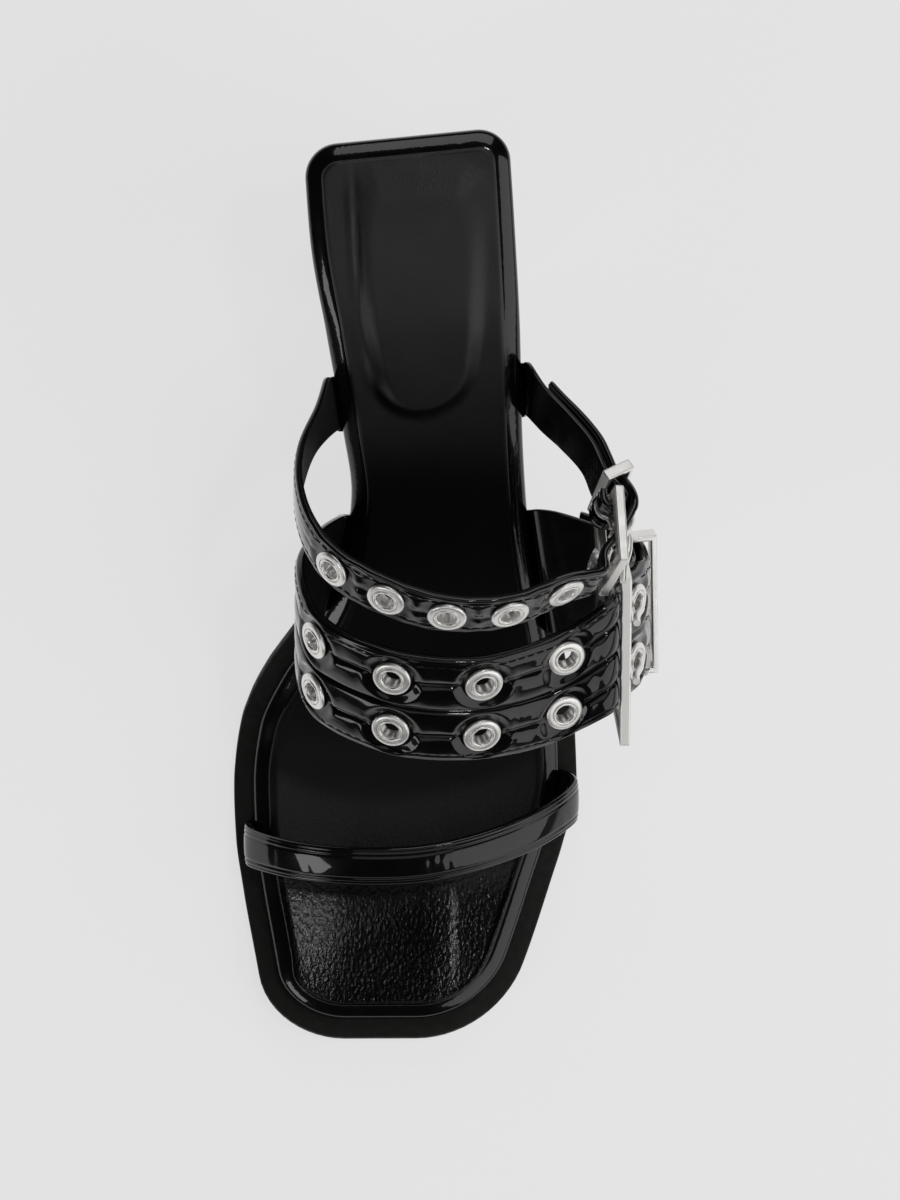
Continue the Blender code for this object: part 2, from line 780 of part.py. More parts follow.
class Buckle:
    """A frame's own axes: down the strap, forward along its bars, and out."""

    def __init__(self, sizes):
        self.sizes = sizes
        self.origin = np.array(sizes["far_bar"], float)
        self.forward = unit(sizes["forward"])
        down = np.array(sizes["down"], float)
        self.down = unit(down - np.dot(down, self.forward) * self.forward)
        self.out = np.cross(self.forward, self.down)

    def point(self, down, forward, out):
        """A point by its distances from the middle of the far bar."""
        return self.origin + down * self.down + forward * self.forward + out * self.out

    def row(self, down, out, width):
        """A row of a strap across the frame."""
        shift = self.sizes["strap_shift"]
        return self.point(down, shift - width / 2, out), self.point(down, shift + width / 2, out)

    def strap_rows(self, width):
        """The strap under the far bar and out over the pivot bar."""
        under = -(self.sizes["thick"] / 2 + self.sizes["clear"] + STRAP_THICK / 2)
        reach = self.sizes["reach"]
        rise = STRAP_OVER_PIVOT - under
        return [self.row(near + reach * far, under + rise * share, width) for near, far, share in STRAP_CLIMB]

    def loop_rows(self, width):
        """The tab's end from its return, round the pivot bar, to its outer layer."""
        reach = self.sizes["reach"]
        rows = [
            self.row(reach + LOOP_RETURN, -LOOP_RADIUS, width),
            self.row(reach + LOOP_RETURN / 2, -LOOP_RADIUS, width),
        ]
        for step in range(LOOP_STEPS + 1):
            angle = -math.pi / 2 - math.pi * step / LOOP_STEPS
            rows.append(self.row(
                reach + LOOP_RADIUS * math.cos(angle),
                LOOP_RADIUS * math.sin(angle),
                width,
            ))
        return rows

    def frame(self, name):
        """The frame: a far bar, two side bars and a thin pivot bar."""
        size = self.sizes
        half = size["length"] / 2
        bar = size["bar"]
        corner = FRAME_CORNER
        low = size["reach"] + PIVOT_BAR / 2
        outer = (
            (-bar / 2, corner - half), (corner - bar / 2, -half), (low - corner, -half), (low, corner - half),
            (low, half - corner), (low - corner, half), (corner - bar / 2, half), (-bar / 2, half - corner),
        )
        inner_half = half - bar
        inner_low = low - PIVOT_BAR
        inner = ((bar / 2, -inner_half), (inner_low, -inner_half), (inner_low, inner_half), (bar / 2, inner_half))
        lift = size["thick"] / 2
        verts = [self.point(d, f, out) for out in (-lift, lift) for d, f in outer + inner]
        layer = len(outer) + len(inner)
        faces = []
        for base, turn in ((0, 1), (layer, -1)):
            for k in range(8):
                n = (k + 1) % 8
                face = (base + k, base + n, base + 8 + n // 2, base + 8 + k // 2)
                faces.append(tuple(dict.fromkeys(face[::turn])))
        for ring, start in ((8, 0), (4, 8)):
            for k in range(ring):
                a = start + k
                b = start + (k + 1) % ring
                faces.append((a, b, b + layer, a + layer))
        ease_edges(make_object(name, verts, faces, "silver_metal", sharp_deg=25.0))

    def prong(self, name, forward, hole):
        """A prong round the pivot bar, out through the strap's hole and up to the far bar."""
        reach = self.sizes["reach"]
        radius = PIVOT_CORNER + GAP + PRONG_THICK / 2
        places = []
        for step in range(PRONG_WRAP_STEPS + 1):
            angle = math.radians(PRONG_WRAP_FROM - PRONG_WRAP_TURN * step / PRONG_WRAP_STEPS)
            places.append((reach + radius * math.cos(angle), radius * math.sin(angle)))
        middle, axis = hole
        before = middle - axis * PRONG_BEFORE_HOLE
        after = middle + axis * PRONG_AFTER_HOLE
        rest = self.sizes["thick"] / 2 + GAP + PRONG_THICK / 2
        places += [tuple(before), tuple(middle), tuple(after)]
        half = self.sizes["bar"] / 2
        places += [(after[0] - PRONG_BEND, after[1] + PRONG_LIFT / 4), (half, rest + PRONG_LIFT)]
        places.append((-half - PRONG_OVER_BAR, rest))
        path = [self.point(d, forward, out) for d, out in places]
        return tube(name, path, self.forward, PRONG_THICK, PRONG_SIDES, "silver_metal")


def ease_edges(obj):
    """Takes the sharpness off the square edges of a metal piece."""
    bevel = obj.modifiers.new("eased_edges", "BEVEL")
    bevel.width = EDGE_EASE * MM
    bevel.segments = 1
    bevel.limit_method = "ANGLE"
    bevel.angle_limit = math.radians(60)


def smooth_path(points, span):
    """Points along a smooth curve through the given ones."""
    knots = np.array(points, float)
    steps = np.linalg.norm(np.diff(knots, axis=0), axis=1)
    places = np.concatenate(([0.0], np.cumsum(steps)))
    tangents = np.gradient(knots, places, axis=0)
    samples = []
    for i, length in enumerate(steps):
        pieces = max(1, math.ceil(length / span))
        for t in np.arange(pieces) / pieces:
            start = (1 + 2 * t) * (1 - t) ** 2 * knots[i] + t * (1 - t) ** 2 * length * tangents[i]
            end = t * t * (3 - 2 * t) * knots[i + 1] + t * t * (t - 1) * length * tangents[i + 1]
            samples.append(start + end)
    samples.append(knots[-1])
    return np.array(samples)


def tube(name, path, side, thick, sides, finish, span=PRONG_SPAN):
    """A round rod along a path that lies in the plane square to the side direction."""
    points = smooth_path(path, span)
    runs = np.gradient(points, axis=0)
    verts = []
    faces = []
    for point, run in zip(points, runs):
        lift = np.cross(side, unit(run))
        for k in range(sides):
            angle = 2 * math.pi * k / sides
            verts.append(point + (side * math.cos(angle) + lift * math.sin(angle)) * thick / 2)
    for i in range(len(points) - 1):
        for k in range(sides):
            a = i * sides + k
            b = i * sides + (k + 1) % sides
            faces.append((a, b, b + sides, a + sides))
    faces.append(tuple(range(sides)))
    top = (len(points) - 1) * sides
    faces.append(tuple(range(top + sides - 1, top - 1, -1)))
    return make_object(name, verts, faces, finish)


def turned_shell(profile, matrix, segments):
    """A closed turned shape of (radius, height) corners, as points and faces."""
    points = []
    faces = []
    ring = len(profile)
    for k in range(segments):
        angle = 2 * math.pi * k / segments
        for radius, height in profile:
            spot = Vector((radius * math.cos(angle), radius * math.sin(angle), height))
            points.append(matrix @ spot)
    for k in range(segments):
        n = (k + 1) % segments
        for j in range(ring):
            m = (j + 1) % ring
            faces.append((k * ring + j, n * ring + j, n * ring + m, k * ring + m))
    return points, faces


def hole_shell(matrix, segments):
    """The hole for an eyelet, with a shallow well for its flange."""
    hole = EYELET_BARREL + GAP
    well = EYELET_FLANGE + GAP
    profile = ((hole, -HOLE_BELOW), (hole, EYELET_WELL), (well, EYELET_WELL), (well, HOLE_ABOVE))
    points = []
    faces = []
    ring = len(profile)
    for k in range(segments):
        angle = 2 * math.pi * k / segments
        for radius, height in profile:
            points.append(matrix @ Vector((radius * math.cos(angle), radius * math.sin(angle), height)))
    for k in range(segments):
        n = (k + 1) % segments
        for j in range(ring - 1):
            faces.append((k * ring + j, n * ring + j, n * ring + j + 1, k * ring + j + 1))
    faces.append(tuple(k * ring for k in range(segments)))
    faces.append(tuple(k * ring + ring - 1 for k in reversed(range(segments))))
    return points, faces


def eyelet_matrix(band, length, across):
    """Axes of an eyelet on the outside of a band, in millimetres."""
    point, along, forward, out = band.at(length, across)
    place = point + out * STRAP_THICK / 2
    forward = np.cross(out, along)
    columns = np.stack((along, forward, out), axis=1)
    return Matrix([[*columns[r], place[r]] for r in range(3)] + [[0, 0, 0, 1]])


def set_eyelets(strap, band, prefix, places):
    """Cuts the holes of a strap and sets an eyelet in each."""
    points, faces = turned_shell(EYELET_ROLL, Matrix.Identity(4), EYELET_SEGMENTS)
    shells = []
    shared = None
    for label, length, across in places:
        matrix = eyelet_matrix(band, length, across)
        shells.append(hole_shell(matrix, EYELET_SEGMENTS))
        name = f"{prefix}_{label}"
        if shared is None:
            obj = make_object(name, points, faces, "silver_metal", sharp_deg=40.0)
            shared = obj.data
        else:
            obj = bpy.data.objects.new(name, shared)
            bpy.context.scene.collection.objects.link(obj)
            obj.parent = ASSEMBLY
        obj.location = matrix.translation * MM
        obj.rotation_mode = "QUATERNION"
        obj.rotation_quaternion = matrix.to_quaternion()
    holes = bpy.data.objects.new(f"{prefix}_holes", joined_mesh(f"{prefix}_holes", shells))
    cut(strap, holes)


def keeper(name, band, start, sizes):
    """A metal loop round a tab and the strap's tail on it."""
    length = start + sizes["at"]
    point, along, across, out = band.at(length)
    along = np.cross(across, out)
    half = np.linalg.norm(band.at(length, 1.0)[0] - point) + KEEPER_PLAY
    low = -(TAB_THICK / 2 + sizes["under"])
    high = TAIL_RISE + STRAP_THICK / 2 + sizes["over"]
    verts = []
    for run in (-sizes["width"] / 2, sizes["width"] / 2):
        for wall in (sizes["wall"], 0.0):
            ring = ((-half - wall, low - wall), (half + wall, low - wall))
            ring += ((half + wall, high + wall), (-half - wall, high + wall))
            verts += [point + along * run + across * a + out * b for a, b in ring]
    faces = []
    for k in range(4):
        n = (k + 1) % 4
        faces.append((k, n, 4 + n, 4 + k))
        faces.append((8 + k, 8 + n, 12 + n, 12 + k))
        faces.append((k, n, 8 + n, 8 + k))
        faces.append((4 + k, 4 + n, 12 + n, 12 + k))
    ease_edges(make_object(name, verts, faces, "silver_metal", sharp_deg=25.0))


def slot_shell(buckle, forward):
    """A slot in a tab's loop, where a prong sits on the pivot bar."""
    reach = buckle.sizes["reach"]
    half = PRONG_SLOT / 2
    box = LOOP_RADIUS + TAB_THICK
    points = []
    for down in (reach - box, reach + box):
        for side in (-half, half):
            for out in (-box, box):
                points.append(buckle.point(down, forward + side, out))
    faces = [(0, 1, 3, 2), (4, 6, 7, 5), (0, 4, 5, 1), (2, 3, 7, 6), (0, 2, 6, 4), (1, 5, 7, 3)]
    return points, faces


def hole_on_frame(band, length, buckle):
    """An eyelet's middle and axis in a frame's (down, out) plane."""
    point, along, forward, out = band.at(length)
    offset = point - buckle.origin
    middle = np.array((np.dot(offset, buckle.down), np.dot(offset, buckle.out)))
    axis = unit((np.dot(out, buckle.down), np.dot(out, buckle.out)))
    return middle, axis


def fastened_strap(name, seats, route, width, lanes, tab_route, sizes, tail_length):
    """A strap from the medial rim to its buckle, its tail, and the lateral tab with the frame."""
    buckle = Buckle(sizes)
    tab_rows = buckle.loop_rows(width - LOOP_EASE) + route_rows(tab_route, width)
    tab_rows += seat_rows("lateral", *seats["lateral"])[::-1]
    tab = Band(tab_rows, span=TAB_SPAN)
    start = tab.nearest(buckle.point(sizes["reach"], sizes["strap_shift"], LOOP_RADIUS))
    tail_rows = []
    for run in np.linspace(TAIL_FROM, tail_length, TAIL_ROWS):
        rear, along, forward, out = tab.at(start + run, -1.0)
        front = tab.at(start + run, 1.0)[0]
        tail_rows.append((rear + out * TAIL_RISE, front + out * TAIL_RISE))
    rows = seat_rows("medial", *seats["medial"]) + route_rows(route, width)
    rows += buckle.strap_rows(width) + tail_rows
    band = Band(rows)
    strap = band.solid(f"{name}_strap", STRAP_THICK, lanes, "patent_leather")
    tab_obj = tab.solid(f"{name}_tab", TAB_THICK, ((-1.0, 0.0), (1.0, 0.0)), "patent_leather")
    buckle.frame(f"{name}_buckle_frame")
    return buckle, band, strap, tab, tab_obj, start


def build_vamp():
    """The wide strap with two rows of eyelets and its two-prong buckle."""
    buckle, band, strap, tab, tab_obj, start = fastened_strap(
        "vamp", VAMP_SEATS, VAMP_ROUTE, VAMP_WIDTH, VAMP_LANES, VAMP_TAB_ROUTE, VAMP_BUCKLE, VAMP_TAIL_LENGTH
    )
    shift = VAMP_BUCKLE["strap_shift"]
    middle = buckle.point(VAMP_BUCKLE["hole_at"], shift, OVER_HOLE)
    prong_length = band.nearest(middle)
    places = []
    for row, across in enumerate(VAMP_EYELET_ROWS, 1):
        for number in range(VAMP_EYELETS_A_ROW):
            back = number and VAMP_EYELET_FIRST + (number - 1) * VAMP_EYELET_PITCH
            places.append((f"row_{row}_{number + 1}", prong_length - back, across))
    set_eyelets(strap, band, "vamp_eyelet", places)
    slots = []
    for number, across in enumerate(VAMP_EYELET_ROWS, 1):
        forward = shift + across * VAMP_WIDTH / 2
        buckle.prong(f"vamp_prong_{number}", forward, hole_on_frame(band, prong_length, buckle))
        slots.append(slot_shell(buckle, forward))
    cut(tab_obj, bpy.data.objects.new("vamp_slots", joined_mesh("vamp_slots", slots)))
    keeper("vamp_keeper", tab, start, VAMP_KEEPER)


def build_instep():
    """The narrow strap with one row of eyelets and its buckle."""
    buckle, band, strap, tab, tab_obj, start = fastened_strap(
        "instep", INSTEP_SEATS, INSTEP_ROUTE, INSTEP_WIDTH, PLAIN_LANES, INSTEP_TAB_ROUTE, INSTEP_BUCKLE,
        INSTEP_TAIL_LENGTH
    )
    prong_length = band.nearest(buckle.point(INSTEP_BUCKLE["hole_at"], 0.0, OVER_HOLE))
    places = []
    for number in range(INSTEP_EYELETS):
        back = number and INSTEP_EYELET_FIRST + (number - 1) * INSTEP_EYELET_PITCH
        places.append((str(number + 1), prong_length - back, 0.0))
    set_eyelets(strap, band, "instep_eyelet", places)
    buckle.prong("instep_prong", 0.0, hole_on_frame(band, prong_length, buckle))
    slot = joined_mesh("instep_slot", [slot_shell(buckle, 0.0)])
    cut(tab_obj, bpy.data.objects.new("instep_slot", slot))
    keeper("instep_keeper", tab, start, INSTEP_KEEPER)


def build_toe_strap():
    """The plain strap over the toes."""
    rows = seat_rows("medial", *TOE_STRAP_SEATS["medial"])
    rows += route_rows(TOE_STRAP_ROUTE, TOE_STRAP_WIDTH)
    rows += seat_rows("lateral", *TOE_STRAP_SEATS["lateral"])[::-1]
    Band(rows).solid("toe_strap", STRAP_THICK, PLAIN_LANES, "patent_leather")


def make_materials():
    """One Principled material for each finish."""
    made = {}
    for name, (colour, roughness, metallic) in FINISH.items():
        material = bpy.data.materials.new(name)
        material.use_nodes = True
        shader = material.node_tree.nodes["Principled BSDF"]
        shader.inputs["Base Color"].default_value = (*colour, 1.0)
        shader.inputs["Roughness"].default_value = roughness
        shader.inputs["Metallic"].default_value = metallic
        made[name] = material
    return made


for old in list(bpy.data.objects):
    bpy.data.objects.remove(old, do_unlink=True)

MATERIALS = make_materials()
ASSEMBLY = bpy.data.objects.new("assembly", None)
bpy.context.scene.collection.objects.link(ASSEMBLY)
ASSEMBLY.location = (ASSEMBLY_X * MM, ASSEMBLY_Y * MM, 0.0)

build_sole()
build_heel()
build_toe_strap()
build_vamp()
build_instep()
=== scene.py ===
"""Looks of the left buckle-strap mule: finished meshes and materials over its solids.

The toe points to -Y, the heel to +Y, the outer side of the foot to +X and up is +Z.
Sizes are in millimetres, and routes and main sizes are those of the solids; meshes are made in metres.
"""
import json
import math

import bmesh
import bpy
import numpy as np
from mathutils import Matrix, Vector

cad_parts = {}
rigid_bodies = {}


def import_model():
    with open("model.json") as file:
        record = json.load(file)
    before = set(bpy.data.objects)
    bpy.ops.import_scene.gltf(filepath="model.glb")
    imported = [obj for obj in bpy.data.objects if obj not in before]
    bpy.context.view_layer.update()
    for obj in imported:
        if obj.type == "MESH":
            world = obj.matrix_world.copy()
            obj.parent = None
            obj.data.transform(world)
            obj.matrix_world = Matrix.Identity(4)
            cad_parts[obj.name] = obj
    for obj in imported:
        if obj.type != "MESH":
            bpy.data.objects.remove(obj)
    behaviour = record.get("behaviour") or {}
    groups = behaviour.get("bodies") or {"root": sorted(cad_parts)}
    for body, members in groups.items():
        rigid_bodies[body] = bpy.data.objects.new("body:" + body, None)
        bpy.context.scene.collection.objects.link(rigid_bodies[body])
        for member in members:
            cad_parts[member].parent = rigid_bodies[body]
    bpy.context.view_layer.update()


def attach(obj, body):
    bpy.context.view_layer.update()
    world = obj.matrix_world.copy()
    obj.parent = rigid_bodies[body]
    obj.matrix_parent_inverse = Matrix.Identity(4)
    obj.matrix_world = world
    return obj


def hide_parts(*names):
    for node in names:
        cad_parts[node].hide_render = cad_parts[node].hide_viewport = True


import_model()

MM = 0.001
GAP = 0.3
SLOPE_STEP = 0.5

# Shift from the values below to the frame of the solids
OFFSET = np.array((1.0, 0.0, 0.0))

# Rim of the footbed seen from the side, toe to heel
RIM_SIDE = (
    # y, z
    (-118.0, 15.0),
    (-95.0, 11.3),
    (-72.0, 9.3),
    (-44.0, 9.3),
    (-30.0, 12.4),
    (-17.5, 18.3),
    (-2.5, 27.6),
    (12.5, 37.6),
    (27.5, 47.0),
    (42.5, 56.0),
    (57.5, 64.6),
    (72.5, 71.6),
    (92.5, 76.8),
    (120.0, 81.5),
)

# Rim of the footbed seen from above, toe to heel
RIM_PLAN = (
    # y, medial x, lateral x
    (-112.0, -40.5, 9.5),
    (-100.0, -43.0, 13.3),
    (-88.0, -45.2, 17.6),
    (-76.0, -47.4, 21.7),
    (-63.0, -49.3, 25.9),
    (-48.0, -49.9, 29.4),
    (-35.0, -48.3, 29.0),
    (-22.5, -42.4, 27.2),
    (-13.0, -35.8, 25.4),
    (0.0, -29.0, 22.6),
    (12.0, -26.4, 20.3),
    (24.0, -25.4, 18.8),
    (40.0, -27.8, 17.4),
    (64.0, -32.2, 16.1),
    (89.0, -36.4, 14.3),
    (114.0, -38.3, 12.4),
)
TOE_Y = -109.0
HEEL_Y = 112.8
TOE_CORNERS = {"medial": (15.0, 12.0), "lateral": (18.0, 16.0)}
NO_CORNERS = {"medial": (0.0, 0.0), "lateral": (0.0, 0.0)}
HEEL_CORNER = (8.0, 8.0)
HEEL_SKEW = 0.1
HEEL_SKEW_FROM = 45.0
HEEL_SKEW_TO = 105.0
ROW_SPACING = 1.0
CORNER_STEPS = 14

# Layers of the sole: inset from the rim and depth below it, from the underside up
FOOTBED_DEPTH = 5.0
FOOTBED_COLUMNS = 4
FOOTBED_RINGS = (
    (0.5, 5.0), (0.1, 4.7), (0.0, 4.2), (0.0, 3.1), (0.12, 2.5), (0.4, 2.0),
    (0.9, 1.55), (1.5, 1.13), (2.2, 0.72), (2.9, 0.38), (3.6, 0.11), (4.4, 0.0),
)
INSOLE_COLUMNS = 84
INSOLE_RINGS = ((4.0, -0.3), (4.0, -0.85), (4.12, -1.15), (4.4, -1.38), (4.9, -1.5))
OUTSOLE_COLUMNS = 8
OUTSOLE_RINGS = ((1.0, 9.3), (0.3, 9.05), (0.0, 8.5), (0.0, 5.9), (0.2, 5.5), (0.6, 5.3))
FLANGE = (
    # y, width
    (-118.0, 4.7),
    (-60.0, 5.0),
    (-15.0, 3.8),
    (5.0, 1.2),
    (20.0, -0.5),
    (80.0, -0.5),
)
OUTSOLE_END_Y = 68.0
OUTSOLE_END_CORNER = (2.0, 2.0)

# The insole comes nearer to the rim's edge at the toe
TOE_REACH = 1.3
TOE_REACH_FROM = -94.0
TOE_REACH_RUN = 11.0

# Raised pad under the heel of the foot
PAD_OUTLINE = (
    # y, centre x, half width
    (46.3, -8.0, 0.0),
    (47.2, -8.0, 4.5),
    (49.5, -7.9, 7.6),
    (53.0, -7.7, 9.9),
    (57.0, -7.5, 11.4),
    (66.0, -8.3, 13.2),
    (77.0, -9.2, 14.3),
    (90.0, -9.8, 14.8),
    (98.0, -10.0, 14.6),
    (101.0, -10.0, 13.2),
    (102.4, -10.0, 10.5),
    (102.9, -10.0, 0.0),
)
PAD_RISE = 1.5
PAD_SOFT = (
    # y, width of the sloping edge
    (46.0, 2.8),
    (56.0, 3.4),
    (70.0, 5.5),
    (88.0, 6.5),
    (104.0, 12.0),
)
# Least square of the length of one side of that outline
LEAST_SQUARE = 0.001

# A low soft step in the insole at the toe
TOE_STEP_X = 1.9
TOE_STEP_WIDTH = 2.2
TOE_STEP_RISE = 0.2
TOE_STEP_REACH = 16.0
TOE_STEP_FRONT = -104.0
TOE_STEP_REAR = -72.0
TOE_STEP_FADE = 9.0

# The insole dips across the front of the foot, and its medial side lifts towards the toe
DISH_DEPTH = 1.3
DISH_FROM = 18.0
DISH_FULL = -22.0
DISH_TOE = 30.0
TOE_LIFT = 1.0
TOE_LIFT_FROM = 0.3

# Block heel under the seat
HEEL_BREAST_Y = OUTSOLE_END_Y + GAP
HEEL_INSET = 1.5
HEEL_FOOT_LENGTH = 31.0
HEEL_FOOT_WIDTH = 33.0
HEEL_FOOT_CENTRE = (-11.3, 91.0)
TOP_PIECE_HEIGHT = 5.7
HEEL_COLUMNS = 8
HEEL_LEVELS = 24
HEEL_BLEND = 0.75
TOP_PIECE_RINGS = ((0.0, 5.7), (0.0, 0.9), (0.25, 0.3), (0.8, 0.0))

# Leather straps
STRAP_THICK = 1.8
TAB_THICK = 1.6
LINING_THICK = 0.5
MARGIN_LENGTH = 9.0
MARGIN_DEPTH = FOOTBED_DEPTH + GAP + STRAP_THICK / 2
SEAT_OUTSIDE = -(GAP + STRAP_THICK / 2 + 0.3)
SEAT_PLACES = (
    # inset from the rim, depth
    (MARGIN_LENGTH, MARGIN_DEPTH),
    (1.8, MARGIN_DEPTH),
    (-0.4, MARGIN_DEPTH - 0.1),
    (SEAT_OUTSIDE, MARGIN_DEPTH - 1.6),
    (SEAT_OUTSIDE, 3.0),
    (SEAT_OUTSIDE - 0.2, 0.0),
)
LEAST_SLANT = 0.6
FINE_SPAN = 0.7
DIRECTION_SPAN = 1.0
SEARCH_SPAN = 0.2
SMOOTH_ROUNDS = 34
SMOOTH_SHARE = 0.5
SMOOTH_CLEAR = 17.0
SMOOTH_BEFORE_BAR = 2.0
SMOOTH_RAMP = 8.0
EDGE_RADIUS = 0.75
EDGE_STEPS = 5
LINING_SHRINK = 0.35
LINING_SPACING = 2.0
TAB_SPACING = 0.5
LANE_SPACING = {"toe_strap": 0.22, "vamp_strap": 0.34, "instep_strap": 0.26}

TOE_STRAP_WIDTH = 10.2
TOE_STRAP_SEATS = {"medial": (-58.6, -68.8), "lateral": (-45.6, -56.4)}
TOE_STRAP_ROUTE = (
    # x, y, z, pitch, sweep, flare
    (-51.2, -64.8, 12.5, 6.0, 0.0, 0.0),
    (-46.6, -66.4, 19.0, 14.0, 0.0, 0.0),
    (-35.5, -68.4, 27.0, 20.0, 0.0, 0.0),
    (-19.5, -69.2, 31.3, 22.0, 0.0, 0.0),
    (-6.5, -68.5, 31.8, 22.0, 0.0, 0.0),
    (7.6, -65.6, 29.8, 21.0, 0.0, 0.0),
    (22.3, -60.2, 24.6, 17.0, 0.0, 0.0),
    (30.4, -55.6, 18.6, 12.0, 0.0, 0.0),
    (33.4, -52.6, 12.6, 6.0, 0.0, 0.0),
)

VAMP_WIDTH = 32.0
VAMP_SEATS = {"medial": (20.0, -4.8), "lateral": (21.5, -9.6)}
VAMP_ROUTE = (
    # x, y, z, pitch, sweep, flare
    (-33.6, 4.0, 46.0, 35.0, -4.0, 0.0),
    (-38.3, -3.5, 59.0, 37.0, 0.0, 0.0),
    (-34.6, -17.2, 72.5, 38.0, 0.0, 0.0),
    (-17.0, -26.0, 80.6, 37.0, 0.0, 0.0),
    (-5.7, -27.8, 81.4, 37.5, 0.0, 0.0),
    (5.6, -27.6, 80.2, 37.5, 0.0, 0.0),
    (26.4, -21.8, 74.2, 32.0, 0.0, 0.0),
)
VAMP_TAB_ROUTE = (
    # x, y, z, pitch, sweep, flare
    (45.6, -5.0, 50.5, 27.0, 2.0, 0.0),
    (44.4, 0.2, 45.4, 29.0, 4.0, 0.0),
    (37.5, 3.2, 40.2, 31.0, 8.0, 3.0),
    (29.0, 5.2, 36.5, 32.0, 11.0, 6.0),
)

INSTEP_WIDTH = 13.0
INSTEP_SEATS = {"medial": (54.6, 41.4), "lateral": (58.0, 45.0)}
INSTEP_ROUTE = (
    # x, y, z, pitch, sweep, flare
    (-34.8, 41.4, 68.6, 36.0, -4.0, 0.0),
    (-38.4, 33.6, 76.6, 41.0, 0.0, 0.0),
    (-39.6, 24.6, 85.4, 44.0, 0.0, 0.0),
    (-36.6, 14.2, 93.6, 44.0, 0.0, 0.0),
    (-32.1, 8.0, 97.4, 44.0, 0.0, 0.0),
    (-18.6, 0.0, 101.4, 47.0, 0.0, 0.0),
    (-3.1, -4.4, 102.2, 52.0, 0.0, 0.0),
    (12.0, -3.6, 100.8, 57.0, 0.0, 0.0),
    (26.3, 2.2, 96.6, 61.0, -5.0, 0.0),
)
INSTEP_TAB_ROUTE = (
    # x, y, z, pitch, sweep, flare
    (35.6, 27.4, 76.0, 58.0, -8.0, 0.0),
    (32.6, 34.6, 72.0, 52.0, -4.0, 0.0),
    (27.2, 41.2, 68.6, 45.0, 0.0, 0.0),
    (22.0, 46.6, 65.8, 38.0, 2.0, 0.0),
)

# Buckles: the middle of the far bar, the way down to the pivot bar and the way to the toe
VAMP_BUCKLE = {
    "far_bar": (42.0, -16.2, 71.2),
    "down": (-0.02, 0.37, -0.93),
    "forward": (0.02, -0.91, -0.41),
    "length": 46.0,
    "reach": 17.0,
    "bar": 3.4,
    "thick": 2.6,
    "strap_shift": -3.2,
    "hole_at": 10.2,
    "clear": 1.3,
}
INSTEP_BUCKLE = {
    "far_bar": (37.6, 5.4, 90.6),
    "down": (-0.06, 0.83, -0.55),
    "forward": (-0.2, -0.43, -0.88),
    "length": 20.5,
    "reach": 18.0,
    "bar": 3.0,
    "thick": 2.4,
    "strap_shift": 0.0,
    "hole_at": 11.2,
    "clear": 1.9,
}
PIVOT_BAR = 2.4
PIVOT_CORNER = PIVOT_BAR * math.sqrt(0.5)
LOOP_RADIUS = PIVOT_CORNER + GAP + TAB_THICK / 2
LOOP_EASE = 1.0
LOOP_RETURN = 2.2
LOOP_STEPS = 6
STRAP_CLIMB = (
    # distance from the far bar, share of the reach, share of the rise
    (-1.5, 0.0, 0.0),
    (2.5, 0.0, 0.03),
    (0.0, 0.45, 0.47),
    (0.0, 0.75, 0.83),
    (0.0, 1.0, 1.0),
)
STRAP_OVER_PIVOT = LOOP_RADIUS + TAB_THICK / 2 + GAP + STRAP_THICK / 2 + 0.2
TAIL_RISE = TAB_THICK / 2 + STRAP_THICK / 2 + 2.5 * GAP
TAIL_ROWS = 8
TAIL_FROM = 5.0
VAMP_TAIL_LENGTH = 27.0
INSTEP_TAIL_LENGTH = 36.0
PRONG_THICK = 1.8
PRONG_SLOT = PRONG_THICK + 2.4
PRONG_WRAP_STEPS = 7
PRONG_WRAP_FROM = 80.0
PRONG_WRAP_TURN = 255.0
PRONG_BEFORE_HOLE = 1.6
PRONG_AFTER_HOLE = 2.2
PRONG_BEND = 2.8
PRONG_LIFT = 0.4
PRONG_OVER_BAR = 0.8
PRONG_SPAN = 0.6
PRONG_SIDES = 18
OVER_HOLE = 3.0
KEEPER_PLAY = 1.6
VAMP_KEEPER = {"width": 4.0, "at": 10.8, "wall": 1.6, "under": 1.2, "over": 1.4}
INSTEP_KEEPER = {"width": 3.0, "at": 7.4, "wall": 1.3, "under": 0.6, "over": 0.7}
METAL_BEVEL = 0.45
BEVEL_STEPS = 4
BEVEL_ANGLE = 60.0

# Angles from which an edge shows as a sharp one
BLOCK_SHARP = 50.0
LOOP_SHARP = 25.0
RING_SHARP = 60.0

# Eyelets: the turned section, from under the flange over the crest into the barrel
EYELET_FLANGE = 4.85
EYELET_BARREL = 3.0
BARREL_REACH = 6.0
EYELET_SEGMENTS = 48
EYELET_SECTION = (
    # radius, height above the strap's outside
    (3.0, 0.0),
    (4.55, 0.0),
    (4.78, 0.16),
    (4.85, 0.42),
    (4.78, 0.72),
    (4.55, 0.94),
    (4.2, 1.06),
    (3.75, 1.12),
    (3.46, 1.1),
    (3.4, 0.72),
    (3.2, 0.72),
    (3.14, 1.14),
    (3.0, 1.25),
    (2.8, 1.28),
    (2.55, 1.16),
    (2.38, 0.86),
    (2.3, 0.4),
    (2.3, -2.2),
    (2.45, -2.65),
    (2.75, -2.9),
    (3.0, -2.7),
)
VAMP_EYELET_FIRST = 28.8
VAMP_EYELET_PITCH = 22.3
VAMP_EYELETS_A_ROW = 5
VAMP_EYELET_ROWS = (-0.5, 0.5)
INSTEP_EYELET_FIRST = 10.8
INSTEP_EYELET_PITCH = 15.1
INSTEP_EYELETS = 7

